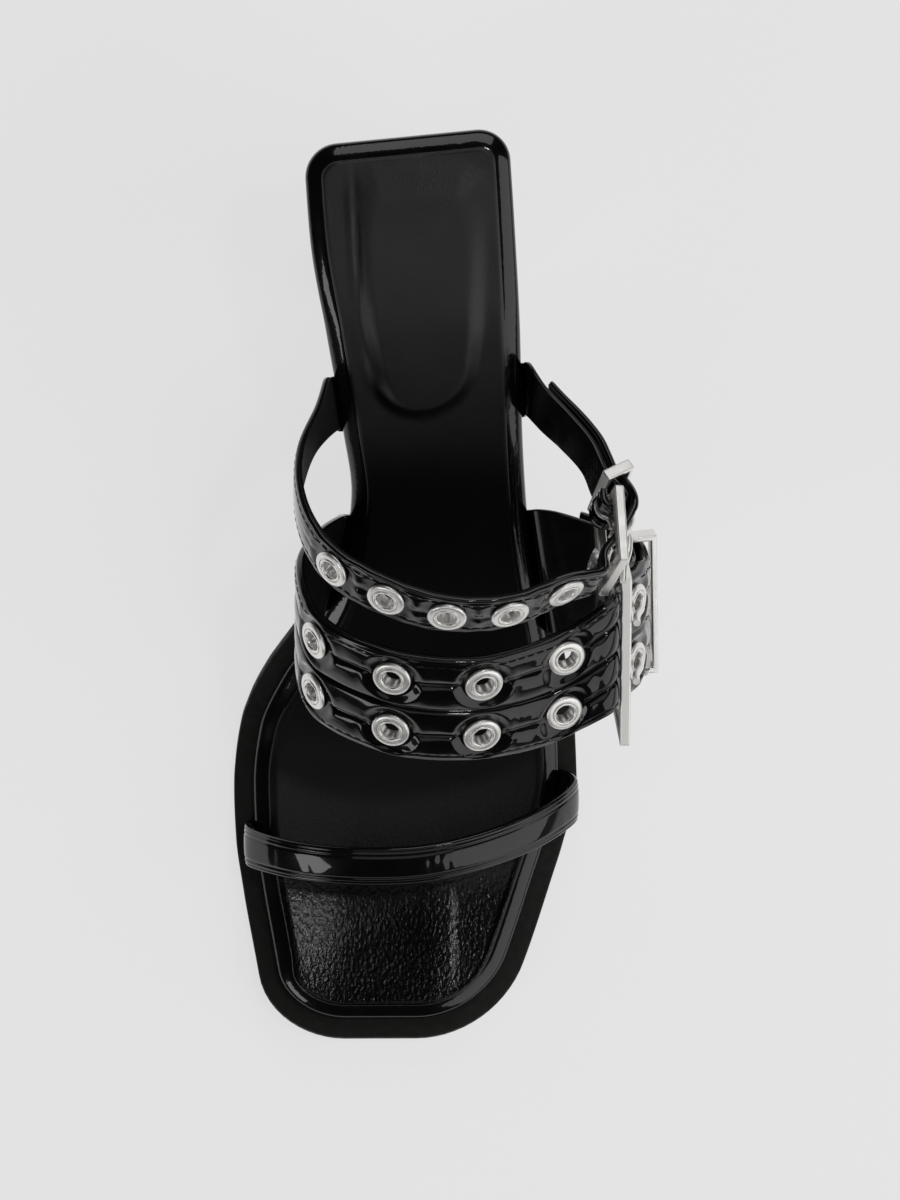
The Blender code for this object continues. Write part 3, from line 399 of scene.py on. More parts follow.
# Leather held flat round an eyelet, and the pleats that run from it
CLAMP_RADIUS = 5.1
CLAMP_BLEND = 2.6
CLAMP_LEVEL = 0.05
PUFF_RADIUS = 7.4
PUFF_WIDTH = 1.5
PUFF_RISE = 0.22
PLEAT_START = 0.6
EYELET_PLEATS = (
    # turn from the strap's length, reach, depth, width
    (3.0, 4.0, 0.2, 0.8),
    (183.0, 4.0, 0.2, 0.8),
    (62.0, 2.2, 0.08, 0.7),
    (-64.0, 2.2, 0.08, 0.7),
)

# Grooves along a strap: distance from its edge, depth, width
EDGE_GROOVES = ((0.95, 0.16, 0.22), (2.1, 0.2, 0.26))
VAMP_SEAMS = (
    # share of the half width, depth
    (-0.5, 0.4),
    (0.0, 0.7),
    (0.5, 0.4),
)
VAMP_PAD_RISE = 1.0
VAMP_SEAM_WIDTH = 0.42
INSTEP_PAD_RISE = 0.45
TOE_STRAP_PAD_RISE = 0.4

# Soft waves of the leather: length along, length across, phase, height
LEATHER_WAVES = (
    (31.0, 90.0, 0.4, 0.1),
    (17.0, -40.0, 2.1, 0.035),
    (9.0, 33.0, 4.0, 0.008),
)
INSOLE_WAVES = 0.5
PLAIN_STRAP_WAVES = 0.7

# Soft ridge beside a crease: share of its depth, widths away from it
RIDGE_SHARE = 0.45
RIDGE_OFFSET = 1.7

# Creases: share of the strap's length, place across, turn from the length, reach, depth, width
TOE_STRAP_CREASES = (
    (0.515, 0.6, 84.0, 3.6, 0.07, 0.8),
    (0.53, -1.2, 97.0, 3.2, 0.06, 0.7),
    (0.548, 1.4, 80.0, 2.6, 0.06, 0.6),
    (0.565, -0.6, 92.0, 3.4, 0.05, 0.7),
    (0.29, 1.0, 76.0, 3.0, 0.07, 1.0),
    (0.22, -0.8, 88.0, 3.6, 0.09, 1.1),
    (0.8, 1.6, 70.0, 3.0, 0.05, 1.0),
)
VAMP_CREASES = (
    (0.2, -6.0, 68.0, 8.0, 0.14, 1.6),
    (0.24, 7.5, 105.0, 6.5, 0.12, 1.4),
    (0.31, -12.0, 60.0, 5.0, 0.12, 1.2),
    (0.35, 4.0, 78.0, 5.0, 0.1, 1.3),
    (0.42, -4.0, 100.0, 4.0, 0.09, 1.2),
    (0.47, 11.5, 74.0, 4.6, 0.11, 1.2),
    (0.53, -11.6, 98.0, 4.6, 0.11, 1.2),
    (0.6, 3.6, 82.0, 4.0, 0.09, 1.1),
    (0.64, -4.6, 66.0, 6.0, 0.13, 1.3),
    (0.68, 10.0, 64.0, 6.0, 0.14, 1.3),
    (0.715, -2.0, 86.0, 13.0, 0.18, 1.5),
)
INSTEP_CREASES = (
    (0.24, 2.0, 78.0, 4.0, 0.1, 1.2),
    (0.33, -2.6, 96.0, 4.0, 0.1, 1.1),
    (0.45, 3.0, 80.0, 3.4, 0.08, 1.0),
    (0.56, -3.0, 102.0, 3.4, 0.08, 1.0),
    (0.63, 0.5, 84.0, 5.6, 0.12, 1.1),
)
INSOLE_CREASES = (
    # x, y, turn from the x axis, reach, depth, width
    (-24.9, 87.5, 93.0, 11.0, 0.9, 0.8),
    (-20.6, 56.0, 104.0, 7.0, 0.25, 1.1),
    (-30.0, 62.0, 95.0, 6.0, 0.16, 0.9),
)

# Stitches
THREAD_RADIUS = 0.2
STITCH_PITCH = 2.5
STITCH_LENGTH = 1.9
STITCH_SIDES = 6
STITCH_CLEAR = 1.6
STITCH_END = 2.0
STITCH_ARCH = (
    # share of the stitch, height over the leather
    (-0.5, -0.22),
    (-0.38, 0.04),
    (0.0, 0.12),
    (0.38, 0.04),
    (0.5, -0.22),
)

# Finishes: scales of patterns are per metre, heights in millimetres
EVEN = (1.0, 1.0, 1.0)
WHITE = (1.0, 1.0, 1.0, 1.0)
NOISE_SPAN = (0.3, 0.7)
SURFACES = {
    "patent_leather": {
        "Base Color": (0.003, 0.003, 0.0033, 1.0),
        "Specular IOR Level": 0.12,
        "Coat Weight": 1.0,
        "Coat Roughness": 0.035,
    },
    "sole_rubber": {"Base Color": (0.0125, 0.0115, 0.0102, 1.0), "Specular IOR Level": 0.3},
    "heel_lacquer": {
        "Base Color": (0.004, 0.004, 0.0045, 1.0),
        "Coat Weight": 0.8,
        "Coat Roughness": 0.06,
    },
    "silver_metal": {"Base Color": (0.93, 0.915, 0.89, 1.0), "Metallic": 0.9},
}
ROUGHNESS = {
    # scale, detail, least, most
    "patent_leather": (160.0, 3.0, 0.22, 0.34),
    "sole_rubber": (500.0, 3.0, 0.55, 0.75),
    "heel_lacquer": (200.0, 3.0, 0.26, 0.38),
    "silver_metal": (380.0, 3.0, 0.3, 0.4),
}
BUMPS = {
    # scale, detail, stretch, height, strength
    "patent_leather": ((240.0, 2.0, EVEN, 0.03, 0.35), (1900.0, 2.0, EVEN, 0.008, 0.4)),
    "sole_rubber": ((1500.0, 3.0, EVEN, 0.05, 0.5),),
    "heel_lacquer": ((170.0, 2.0, EVEN, 0.12, 0.3),),
    "silver_metal": ((300.0, 2.0, EVEN, 0.06, 0.3), (1400.0, 3.0, (1.0, 0.2, 0.2), 0.015, 0.5)),
}
WRAP_WRINKLES = ((620.0, 2.5, (1.0, 0.7, 1.0), 0.045, 0.8),)

# Matte finish of the insole, the linings and the thread
MATTE_DARK = (0.002, 0.002, 0.002, 1.0)
MATTE_LIGHT = (0.026, 0.0255, 0.0255, 1.0)
# scale, detail, least, most
MATTE_CLOUDS = (90.0, 4.0, 0.7, 1.0)
MATTE_UNEVEN = (1100.0, 2.0, -0.03, 0.03)
# scale, detail and, for the grain, stretch
MATTE_GRAIN = (1150.0, 1.0, (1.0, 0.62, 1.0))
MATTE_PORES = (2200.0, 2.0)
MATTE_GRAIN_HEIGHT = 0.12
MATTE_PORE_HEIGHT = 0.07
MATTE_PORE_STRENGTH = 0.7

# The insole's leather is shinier and coarser at the toe; its tint is painted light and shade, light on the
# heel seat and dark over the arch and the toe
LEATHER_COLUMNS = ("y", "specular", "roughness", "grain", "tint_and_painted_light")
LEATHER_ALONG = (
    (-110.0, 0.44, 0.17, 0.95, 0.05),
    (-78.0, 0.44, 0.17, 0.95, 0.05),
    (-60.0, 0.34, 0.42, 0.3, 0.15),
    (-20.0, 0.14, 0.5, 0.14, 0.1),
    (26.0, 0.12, 0.5, 0.12, 0.1),
    (58.0, 0.58, 0.45, 0.1, 0.9),
    (72.0, 0.6, 0.44, 0.1, 1.0),
    (112.0, 0.52, 0.42, 0.1, 0.7),
)

# Painted shadow in the fold at the front of the heel pad: the leather's colour and shine are darker there
PAD_SHADOW_CENTRE = (-7.9, 58.4)
PAD_SHADOW_RADIUS = 12.9
PAD_SHADOW_WIDTH = 3.4
PAD_SHADOW_REAR = 61.0
PAD_SHADOW_FRONT = 47.0
PAD_SHADOW_SHARE = 0.08

# Leather of the toe is duller between its medial side and its step
TOE_DULL = 0.58
TOE_DULL_X = (-37.0, -22.0, -5.0, 1.0)
TOE_DULL_Y = (-78.0, -66.0)

# Camera of the photograph, in the frame of the solids
CAMERA_PLACE = (-63.0, 2.4, 1500.0)
CAMERA_AIM = (0.6, -1.3, 42.0)
CAMERA_SENSOR = 27.0
FRAME_HEIGHT = 304.0
IMAGE_SHAPE = (900, 1200)
CAMERA_FAR = 30.0

# Studio lights, sky and floor
LIGHTS = (
    # name, place, aim, width, height, watts, what it lights
    ("key_low", (350, 1400, 1150), (0, 0, 40), 1300, 1000, 5.5, "all"),
    ("spark_top", (360, 235, 1500), (0, -90, 20), 110, 110, 1.25, "all"),
    ("wall_outer", (935, -497, 593), (0, -60, 30), 1430, 920, 4.6, "all"),
    ("panel_inner", (-790, -660, 540), (-30, -65, 30), 520, 280, 1.25, "all"),
    ("ceiling", (0, -520, 1700), (0, -520, 0), 1300, 1040, 1.8, "all"),
    ("metal_fill", (0, -1100, 1000), (0, 0, 60), 1800, 900, 2.7, "silver_metal"),
)
SKY = 0.015
FLOOR_SIZE = 9000.0
FLOOR_DROP = 0.05
FLOOR_SURFACE = {
    "Base Color": (0.28, 0.28, 0.28, 1.0),
    "Specular IOR Level": 0.0,
    "Roughness": 0.9,
    "Emission Color": WHITE,
}
FLOOR_GLOW = 0.67
FLOOR_FADE = (260.0, 900.0)
FLOOR_FAR_GLOW = 0.2


def unit(vectors):
    """The vectors at length one."""
    vectors = np.asarray(vectors, float)
    return vectors / np.linalg.norm(vectors, axis=-1, keepdims=True)


def hermite(t, first, last, length, first_slope, last_slope):
    """A cubic between two values that has the given slopes there."""
    start = (1 + 2 * t) * (1 - t) ** 2 * first + t * (1 - t) ** 2 * length * first_slope
    end = t * t * (3 - 2 * t) * last + t * t * (t - 1) * length * last_slope
    return start + end


def monotone_curve(knots):
    """A smooth curve through (place, value) knots that never overshoots them."""
    places = np.array([knot[0] for knot in knots], float)
    values = np.array([knot[1] for knot in knots], float)
    widths = np.diff(places)
    slopes = np.diff(values) / widths
    tangents = np.zeros(len(places))
    tangents[0] = slopes[0]
    tangents[-1] = slopes[-1]
    for i in range(1, len(places) - 1):
        if slopes[i - 1] * slopes[i] > 0:
            before = 2 * widths[i] + widths[i - 1]
            after = widths[i] + 2 * widths[i - 1]
            tangents[i] = (before + after) / (before / slopes[i - 1] + after / slopes[i])

    def value(place):
        place = np.clip(place, places[0], places[-1])
        i = np.clip(np.searchsorted(places, place, side="right") - 1, 0, len(places) - 2)
        t = (place - places[i]) / widths[i]
        return hermite(t, values[i], values[i + 1], widths[i], tangents[i], tangents[i + 1])

    return value


rim_height = monotone_curve(RIM_SIDE)
flange_width = monotone_curve(FLANGE)
rim_edge = {
    "medial": monotone_curve([(row[0], row[1]) for row in RIM_PLAN]),
    "lateral": monotone_curve([(row[0], row[2]) for row in RIM_PLAN]),
}


def ease(t):
    """A soft step from 0 to 1."""
    t = np.clip(t, 0.0, 1.0)
    return t * t * (3 - 2 * t)


def slope(curve, place):
    """Slope of a curve at a place."""
    return (curve(place + SLOPE_STEP) - curve(place - SLOPE_STEP)) / (2 * SLOPE_STEP)


def rim_tilt(y):
    """Slope of the rim at y, as an angle."""
    return np.arctan(slope(rim_height, y))


def sole_point(x, y, depth):
    """Points of the sole, at a depth square to the rim's own slope."""
    tilt = rim_tilt(y)
    parts = np.broadcast_arrays(x, y + depth * np.sin(tilt), rim_height(y) - depth * np.cos(tilt))
    return np.stack(parts, axis=-1)


def skewed(x, y):
    """Turns the back of the heel seat square to the axis of the heel."""
    centre = (rim_edge["medial"](y) + rim_edge["lateral"](y)) / 2
    return y + HEEL_SKEW * ease((y - HEEL_SKEW_FROM) / (HEEL_SKEW_TO - HEEL_SKEW_FROM)) * (x - centre)


def corner_shrink(distance, corner):
    """How far a rounded corner draws the edge in, at a distance from the end."""
    across, along = corner
    left = max(0.0, 1 - distance / along)
    return across * (1 - math.sqrt(1 - left * left))


def plan_rows(toe_y, heel_y, heel_corner, toe_corners):
    """Rows of the sole from heel to toe: medial x, lateral x and y."""
    toe_run = max(corner[1] for corner in toe_corners.values())
    turns = np.linspace(0, math.pi / 2, CORNER_STEPS + 1)
    levels = list(heel_y - heel_corner[1] * (1 - np.cos(turns)))
    count = round((heel_y - heel_corner[1] - toe_y - toe_run) / ROW_SPACING)
    levels += list(np.linspace(heel_y - heel_corner[1], toe_y + toe_run, count + 1)[1:])
    if toe_run:
        levels += list(toe_y + toe_run * (1 - np.cos(turns[-2::-1])))
    rows = []
    for y in levels:
        ends = {}
        for side, inward in (("medial", 1), ("lateral", -1)):
            shrink = corner_shrink(heel_y - y, heel_corner)
            if toe_corners[side][1]:
                shrink += corner_shrink(y - toe_y, toe_corners[side])
            ends[side] = rim_edge[side](y) + inward * shrink
        rows.append((ends["medial"], ends["lateral"], y))
    return rows


def ring_of(rows, columns):
    """The outline of the rows as a closed ring: medial side, toe, lateral side, heel."""
    last = len(rows) - 1
    places = [(i, 0) for i in range(last + 1)]
    places += [(last, j) for j in range(1, columns + 1)]
    places += [(i, columns) for i in range(last - 1, -1, -1)]
    places += [(0, j) for j in range(columns - 1, 0, -1)]
    ring = []
    for i, j in places:
        medial, lateral, y = rows[i]
        x = medial + (lateral - medial) * j / columns
        ring.append((x, skewed(x, y)))
    return np.array(ring), places


def inset_ring(ring, amounts):
    """The ring moved inward by an amount for each point, or outward where it is negative."""
    along = unit(np.roll(ring, -1, axis=0) - np.roll(ring, 1, axis=0))
    area = np.sum(ring[:, 0] * np.roll(ring[:, 1], -1) - np.roll(ring[:, 0], -1) * ring[:, 1])
    inward = np.stack((-along[:, 1], along[:, 0]), axis=1) * math.copysign(1.0, area)
    return ring + inward * np.broadcast_to(amounts, len(ring))[:, None]


def piece(name, verts, faces, finish, nodes=(), sharp_deg=None):
    """A finished mesh from points in millimetres, riding on the shoe and standing for its solids."""
    mesh = bpy.data.meshes.new(name)
    places = (np.asarray(verts, float) + OFFSET) * MM
    mesh.from_pydata(places.tolist(), [], [list(map(int, face)) for face in faces])
    body = bmesh.new()
    body.from_mesh(mesh)
    loose = [v for v in body.verts if not v.link_faces]
    bmesh.ops.delete(body, geom=loose, context="VERTS")
    bmesh.ops.recalc_face_normals(body, faces=body.faces)
    body.to_mesh(mesh)
    body.free()
    mesh.shade_smooth()
    if sharp_deg:
        mesh.set_sharp_from_angle(angle=math.radians(sharp_deg))
    mesh.materials.append(MATERIALS[finish])
    obj = bpy.data.objects.new(name, mesh)
    bpy.context.scene.collection.objects.link(obj)
    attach(obj, "root")
    if nodes:
        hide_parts(*nodes)
    return obj


def loft_faces(levels, count):
    """Faces between closed rings of points, one after the other."""
    first = np.arange(levels - 1)[:, None] * count + np.arange(count)[None, :]
    after = np.arange(levels - 1)[:, None] * count + (np.arange(count)[None, :] + 1) % count
    return np.stack((first, after, after + count, first + count), axis=-1).reshape(-1, 4).tolist()


def cap_faces(index, last, columns):
    """Faces of a cap from the numbers of its points by row and column."""
    corners = ((0, 0), (0, 1), (1, 1), (1, 0))
    squares = [(i, j) for i in range(last) for j in range(columns)]
    return [[index[(i + down, j + across)] for down, across in corners] for i, j in squares]


def plate(name, rows, columns, rings, finish, node, flange=None, relief=None):
    """A layer of the sole from its rings of inset and depth, with a relief on its top."""
    ring, places = ring_of(rows, columns)
    count = len(ring)
    last = len(rows) - 1
    outward = flange(ring[:, 1]) if flange else 0.0
    plans = [inset_ring(ring, inset - outward) for inset, depth in rings]
    verts = []
    for plan, (inset, depth) in zip(plans, rings):
        verts += list(sole_point(plan[:, 0], plan[:, 1], depth))
    faces = loft_faces(len(rings), count)
    share = np.arange(1, columns)[:, None] / columns
    for level in (0, len(rings) - 1):
        index = {place: level * count + k for k, place in enumerate(places)}
        plan = dict(zip(places, plans[level]))
        for i in range(1, last):
            row = plan[(i, 0)] * (1 - share) + plan[(i, columns)] * share
            lift = relief(row[:, 0], row[:, 1]) if relief and level else 0.0
            depth = rings[level][1] - lift
            for j, point in enumerate(sole_point(row[:, 0], row[:, 1], depth), 1):
                index[(i, j)] = len(verts)
                verts.append(point)
        faces += cap_faces(index, last, columns)
    return piece(name, verts, faces, finish, [node])


def crease_depth(along, across, creases):
    """Height of creases at places on a flat pattern: a sharp fold with a soft ridge beside it."""
    height = np.zeros(np.broadcast(along, across).shape)
    for middle, offset, turn, reach, depth, width in creases:
        angle = math.radians(turn)
        u = (along - middle) * math.cos(angle) + (across - offset) * math.sin(angle)
        v = (across - offset) * math.cos(angle) - (along - middle) * math.sin(angle)
        ridge = RIDGE_SHARE * np.exp(-((v - RIDGE_OFFSET * width) / width) ** 2)
        fold = ridge - np.exp(-(v / width) ** 2)
        height += depth * np.exp(-(u / reach) ** 2) * fold
    return height


def soft_waves(along, across, scale=1.0):
    """Height of the slow unevenness of leather."""
    height = 0.0
    for length, width, phase, rise in LEATHER_WAVES:
        height = height + scale * rise * np.sin(2 * math.pi * (along / length + across / width) + phase)
    return height


def pad_distance(x, y):
    """How far places lie from the heel pad's outline."""
    table = np.array(PAD_OUTLINE)
    sides = [np.stack((table[:, 1] + sign * table[:, 2], table[:, 0]), axis=1) for sign in (-1, 1)]
    outline = np.concatenate((sides[0], sides[1][::-1]))
    nearest = np.full(len(x), np.inf)
    for first, last in zip(outline[:-1], outline[1:]):
        run = last - first
        square = max(run @ run, LEAST_SQUARE)
        share = np.clip(((x - first[0]) * run[0] + (y - first[1]) * run[1]) / square, 0, 1)
        gap = np.hypot(x - first[0] - share * run[0], y - first[1] - share * run[1])
        nearest = np.minimum(nearest, gap)
    return nearest


def pad_height(x, y):
    """Height of the soft heel pad."""
    table = np.array(PAD_OUTLINE)
    distance = pad_distance(x, y)
    half = np.interp(y, table[:, 0], table[:, 2], left=0.0, right=0.0)
    inside = abs(x - np.interp(y, table[:, 0], table[:, 1])) < half
    soft = np.interp(y, *np.array(PAD_SOFT).T)
    return PAD_RISE * ease(0.5 + np.where(inside, distance, -distance) / soft)


def toe_step(x, y):
    """A low soft step that runs lengthways down the toe."""
    lengthways = ease((TOE_STEP_REAR - y) / TOE_STEP_FADE) * ease((y - TOE_STEP_FRONT) / TOE_STEP_FADE)
    edge = ease((TOE_STEP_X - x) / TOE_STEP_WIDTH + 0.5)
    fade = ease((x + TOE_STEP_REACH) / TOE_STEP_REACH)
    return TOE_STEP_RISE * lengthways * edge * fade


def dish_depth(x, y):
    """How far the insole dips across the front of the foot."""
    left = rim_edge["medial"](y)
    right = rim_edge["lateral"](y)
    across = np.clip((2 * x - left - right) / (right - left), -1, 1)
    lengthways = ease((DISH_FROM - y) / (DISH_FROM - DISH_FULL)) * ease((y - TOE_Y) / DISH_TOE)
    lift = TOE_LIFT * ease((-across - TOE_LIFT_FROM) / (1 - TOE_LIFT_FROM))
    lift = lift * ease((DISH_FULL - y) / DISH_TOE)
    return (DISH_DEPTH * (1 - across ** 2) - lift) * lengthways


def insole_relief(x, y):
    """Height of the heel pad, the dip, the step at the toe, the folds and the waves of the insole."""
    height = pad_height(x, y) - dish_depth(x, y) + toe_step(x, y)
    return height + crease_depth(x, y, INSOLE_CREASES) + soft_waves(y, x, INSOLE_WAVES)


def toe_reach(y):
    """How much nearer the rim's edge the insole comes at the toe."""
    return TOE_REACH * ease((TOE_REACH_FROM - y) / TOE_REACH_RUN)


def build_sole():
    """Outsole, footbed and insole."""
    rows = plan_rows(TOE_Y, HEEL_Y, HEEL_CORNER, TOE_CORNERS)
    wrap = plate("footbed_wrap", rows, FOOTBED_COLUMNS, FOOTBED_RINGS, "patent_leather", "footbed")
    wrap.data.materials[0] = patent_leather("patent_wrap_finish", WRAP_WRINKLES)
    insole = plate(
        "insole_sock", rows, INSOLE_COLUMNS, INSOLE_RINGS, "matte_leather", "insole",
        flange=toe_reach, relief=insole_relief,
    )
    rows = plan_rows(TOE_Y, OUTSOLE_END_Y, OUTSOLE_END_CORNER, TOE_CORNERS)
    plate(
        "outsole_flange", rows, OUTSOLE_COLUMNS, OUTSOLE_RINGS, "sole_rubber", "outsole",
        flange=flange_width,
    )


def heel_block(name, verts, places, levels, finish, node):
    """Closes rings of points, one above the other, into a block of the heel."""
    count = len(places)
    last = max(i for i, j in places)
    faces = loft_faces(levels, count)
    verts = list(verts)
    for level in (0, levels - 1):
        index = {place: level * count + k for k, place in enumerate(places)}
        for i in range(1, last):
            medial, lateral = (np.array(verts[index[(i, edge)]]) for edge in (0, HEEL_COLUMNS))
            for j in range(1, HEEL_COLUMNS):
                index[(i, j)] = len(verts)
                verts.append(medial + (lateral - medial) * j / HEEL_COLUMNS)
        faces += cap_faces(index, last, HEEL_COLUMNS)
    piece(name, verts, faces, finish, [node], sharp_deg=BLOCK_SHARP)


def build_heel():
    """Block heel and its top piece."""
    rows = plan_rows(HEEL_BREAST_Y, HEEL_Y, HEEL_CORNER, NO_CORNERS)
    ring, places = ring_of(rows, HEEL_COLUMNS)
    seat = inset_ring(ring, HEEL_INSET)
    centre = (seat.min(axis=0) + seat.max(axis=0)) / 2
    shrink = np.array((HEEL_FOOT_WIDTH, HEEL_FOOT_LENGTH)) / (seat.max(axis=0) - seat.min(axis=0))
    foot = np.array(HEEL_FOOT_CENTRE) + (seat - centre) * shrink
    foot_z = TOP_PIECE_HEIGHT + GAP
    top = sole_point(seat[:, 0], seat[:, 1], FOOTBED_DEPTH + GAP)
    low = np.column_stack((foot, np.full(len(foot), foot_z)))
    verts = []
    for fall in np.linspace(0, 1, HEEL_LEVELS + 1):
        level = top * (1 - fall ** HEEL_BLEND) + low * fall ** HEEL_BLEND
        level[:, 2] = top[:, 2] * (1 - fall) + foot_z * fall
        verts += list(level)
    heel_block("heel_cover", verts, places, HEEL_LEVELS + 1, "heel_lacquer", "heel")
    verts = []
    for inset, z in TOP_PIECE_RINGS:
        verts += [(x, y, z) for x, y in inset_ring(foot, inset)]
    heel_block("heel_tip", verts, places, len(TOP_PIECE_RINGS), "sole_rubber", "heel_top_piece")


def edge_place(side, y, inset):
    """A place in plan beside the rim, inset from it or outside it where negative."""
    lean = slope(rim_edge[side], y)
    scale = inset * (1 if side == "medial" else -1) / math.hypot(1, lean)
    return rim_edge[side](y) + scale, y - lean * scale


def seat_point(side, y, inset, depth):
    """A point of a strap's end beside the rim, straight below its place on the rim's side."""
    return sole_point(*edge_place(side, y - depth * math.sin(rim_tilt(y)), inset), depth)


def seat_rows(side, rear_y, front_y):
    """Rows of a strap's end from under the footbed, round its edge, to the rim."""
    ends = (rear_y, front_y)
    return [[seat_point(side, y, inset, depth) for y in ends] for inset, depth in SEAT_PLACES]


def route_rows(route, width):
    """Rows of a strap from a table of middle points with the pitch and sweep of its width."""
    middles = np.array([row[:3] for row in route], float)
    rows = []
    for middle, run, row in zip(middles, np.gradient(middles, axis=0), route):
        pitch = math.radians(row[3])
        sweep = math.radians(row[4])
        level = math.cos(sweep)
        forward = np.array((math.sin(sweep), -math.cos(pitch) * level, -math.sin(pitch) * level))
        slant = np.linalg.norm(np.cross(forward, unit(run)))
        half = forward * (width + row[5]) / 2 / max(slant, LEAST_SLANT)
        rows.append((middle - half, middle + half))
    return rows


def smooth_path(points, span):
    """Points along a smooth curve through the given ones."""
    knots = np.array(points, float)
    middles = knots if knots.shape[1] == 3 else (knots[:, :3] + knots[:, 3:]) / 2
    steps = np.linalg.norm(np.diff(middles, axis=0), axis=1)
    places = np.concatenate(([0.0], np.cumsum(steps)))
    tangents = np.gradient(knots, places, axis=0)
    samples = []
    for i, length in enumerate(steps):
        pieces = max(1, math.ceil(length / span))
        for t in np.arange(pieces) / pieces:
            samples.append(hermite(t, knots[i], knots[i + 1], length, tangents[i], tangents[i + 1]))
    samples.append(knots[-1])
    return np.array(samples)


class Band:
    """A leather band along rows of (rear edge, front edge), smooth along its length."""

    def __init__(self, rows, width, span=FINE_SPAN):
        self.width = width
        self.take(smooth_path(np.array(rows, float).reshape(len(rows), 6), span))

    def take(self, samples):
        """Keeps the sampled rows and measures the length along the middle."""
        self.samples = samples
        self.rear = samples[:, :3]
        self.front = samples[:, 3:]
        self.middle = (self.rear + self.front) / 2
        lengths = np.linalg.norm(np.diff(self.middle, axis=0), axis=1)
        self.length = np.concatenate(([0.0], np.cumsum(lengths)))

    def relax(self, start, end):
        """Evens the bend between two lengths, so that reflections run without breaks."""
        share = ease((self.length - start) / SMOOTH_RAMP) * ease((end - self.length) / SMOOTH_RAMP)
        samples = self.samples.copy()
        for _ in range(SMOOTH_ROUNDS):
            middle = (samples[:-2] + samples[2:]) / 2
            samples[1:-1] += (middle - samples[1:-1]) * SMOOTH_SHARE * share[1:-1, None]
        self.take(samples)

    def sampled(self, line, length):
        """Points of one of the band's lines, by the length along its middle."""
        return np.stack([np.interp(length, self.length, line[:, c]) for c in range(3)], axis=-1)

    def at(self, length, across=0.0):
        """Point, direction along, direction to the front edge and direction out."""
        rear = self.sampled(self.rear, length)
        front = self.sampled(self.front, length)
        ahead = self.sampled(self.middle, length + DIRECTION_SPAN)
        behind = self.sampled(self.middle, length - DIRECTION_SPAN)
        forward = unit(front - rear)
        along = unit(ahead - behind)
        out = unit(np.cross(forward, along))
        return (rear + front) / 2 + (front - rear) / 2 * across, along, forward, out

    def nearest(self, point):
        """Length along the band where its middle comes nearest to a point."""
        lengths = np.arange(0.0, self.length[-1], SEARCH_SPAN)
        gaps = np.linalg.norm(self.sampled(self.middle, lengths) - np.array(point), axis=1)
        return lengths[int(np.argmin(gaps))]

    def lanes(self, spacing):
        """Shares across the band, closer together in its rounded edges."""
        half = self.width / 2
        inner = half - EDGE_RADIUS
        flat = np.linspace(-inner, inner, max(2, round(2 * inner / spacing)) + 1)
        turns = np.linspace(0, math.pi / 2, EDGE_STEPS + 1)[1:]
        edge = inner + EDGE_RADIUS * np.sin(turns)
        return np.concatenate((-edge[::-1], flat, edge)) / half

    def edge_drop(self, lanes, radius):
        """How far the rounded edges fall below the face of the band."""
        left = np.clip(radius - (1 - abs(lanes)) * self.width / 2, 0, radius)
        return radius - np.sqrt(radius ** 2 - left ** 2)

    def frame_grid(self, lanes):
        """Points of the middle layer and directions out, for every row and lane."""
        share = ((lanes + 1) / 2)[None, :, None]
        point = self.rear[:, None] * (1 - share) + self.front[:, None] * share
        rear_run, front_run = (np.gradient(edge, axis=0)[:, None] for edge in (self.rear, self.front))
        run = rear_run * (1 - share) + front_run * share
        return point, unit(np.cross((self.front - self.rear)[:, None], run))

    def body(self, name, finish, nodes, lanes, outside, inside, holes=()):
        """A closed skin between an outside and an inside height, without what the holes take away."""
        point, out = self.frame_grid(lanes)
        shape = point.shape[:2]
        outer = point + out * np.broadcast_to(outside, shape)[..., None]
        inner = point + out * np.broadcast_to(inside, shape)[..., None]
        verts = np.concatenate((outer, inner[:, ::-1]), axis=1)
        count, size = verts.shape[:2]
        faces = np.array(loft_faces(count, size))
        caps = []
        for k in (0, count - 1):
            for j in range(size // 2 - 1):
                a = k * size + j
                c = k * size + size - 1 - j
                caps.append((a, a + 1, c - 1, c))
        verts = verts.reshape(-1, 3)
        centres = verts[faces].mean(axis=1)
        keep = np.ones(len(faces), bool)
        for test in holes:
            keep &= ~test(centres)
        return piece(name, verts, faces[keep].tolist() + caps, finish, nodes)


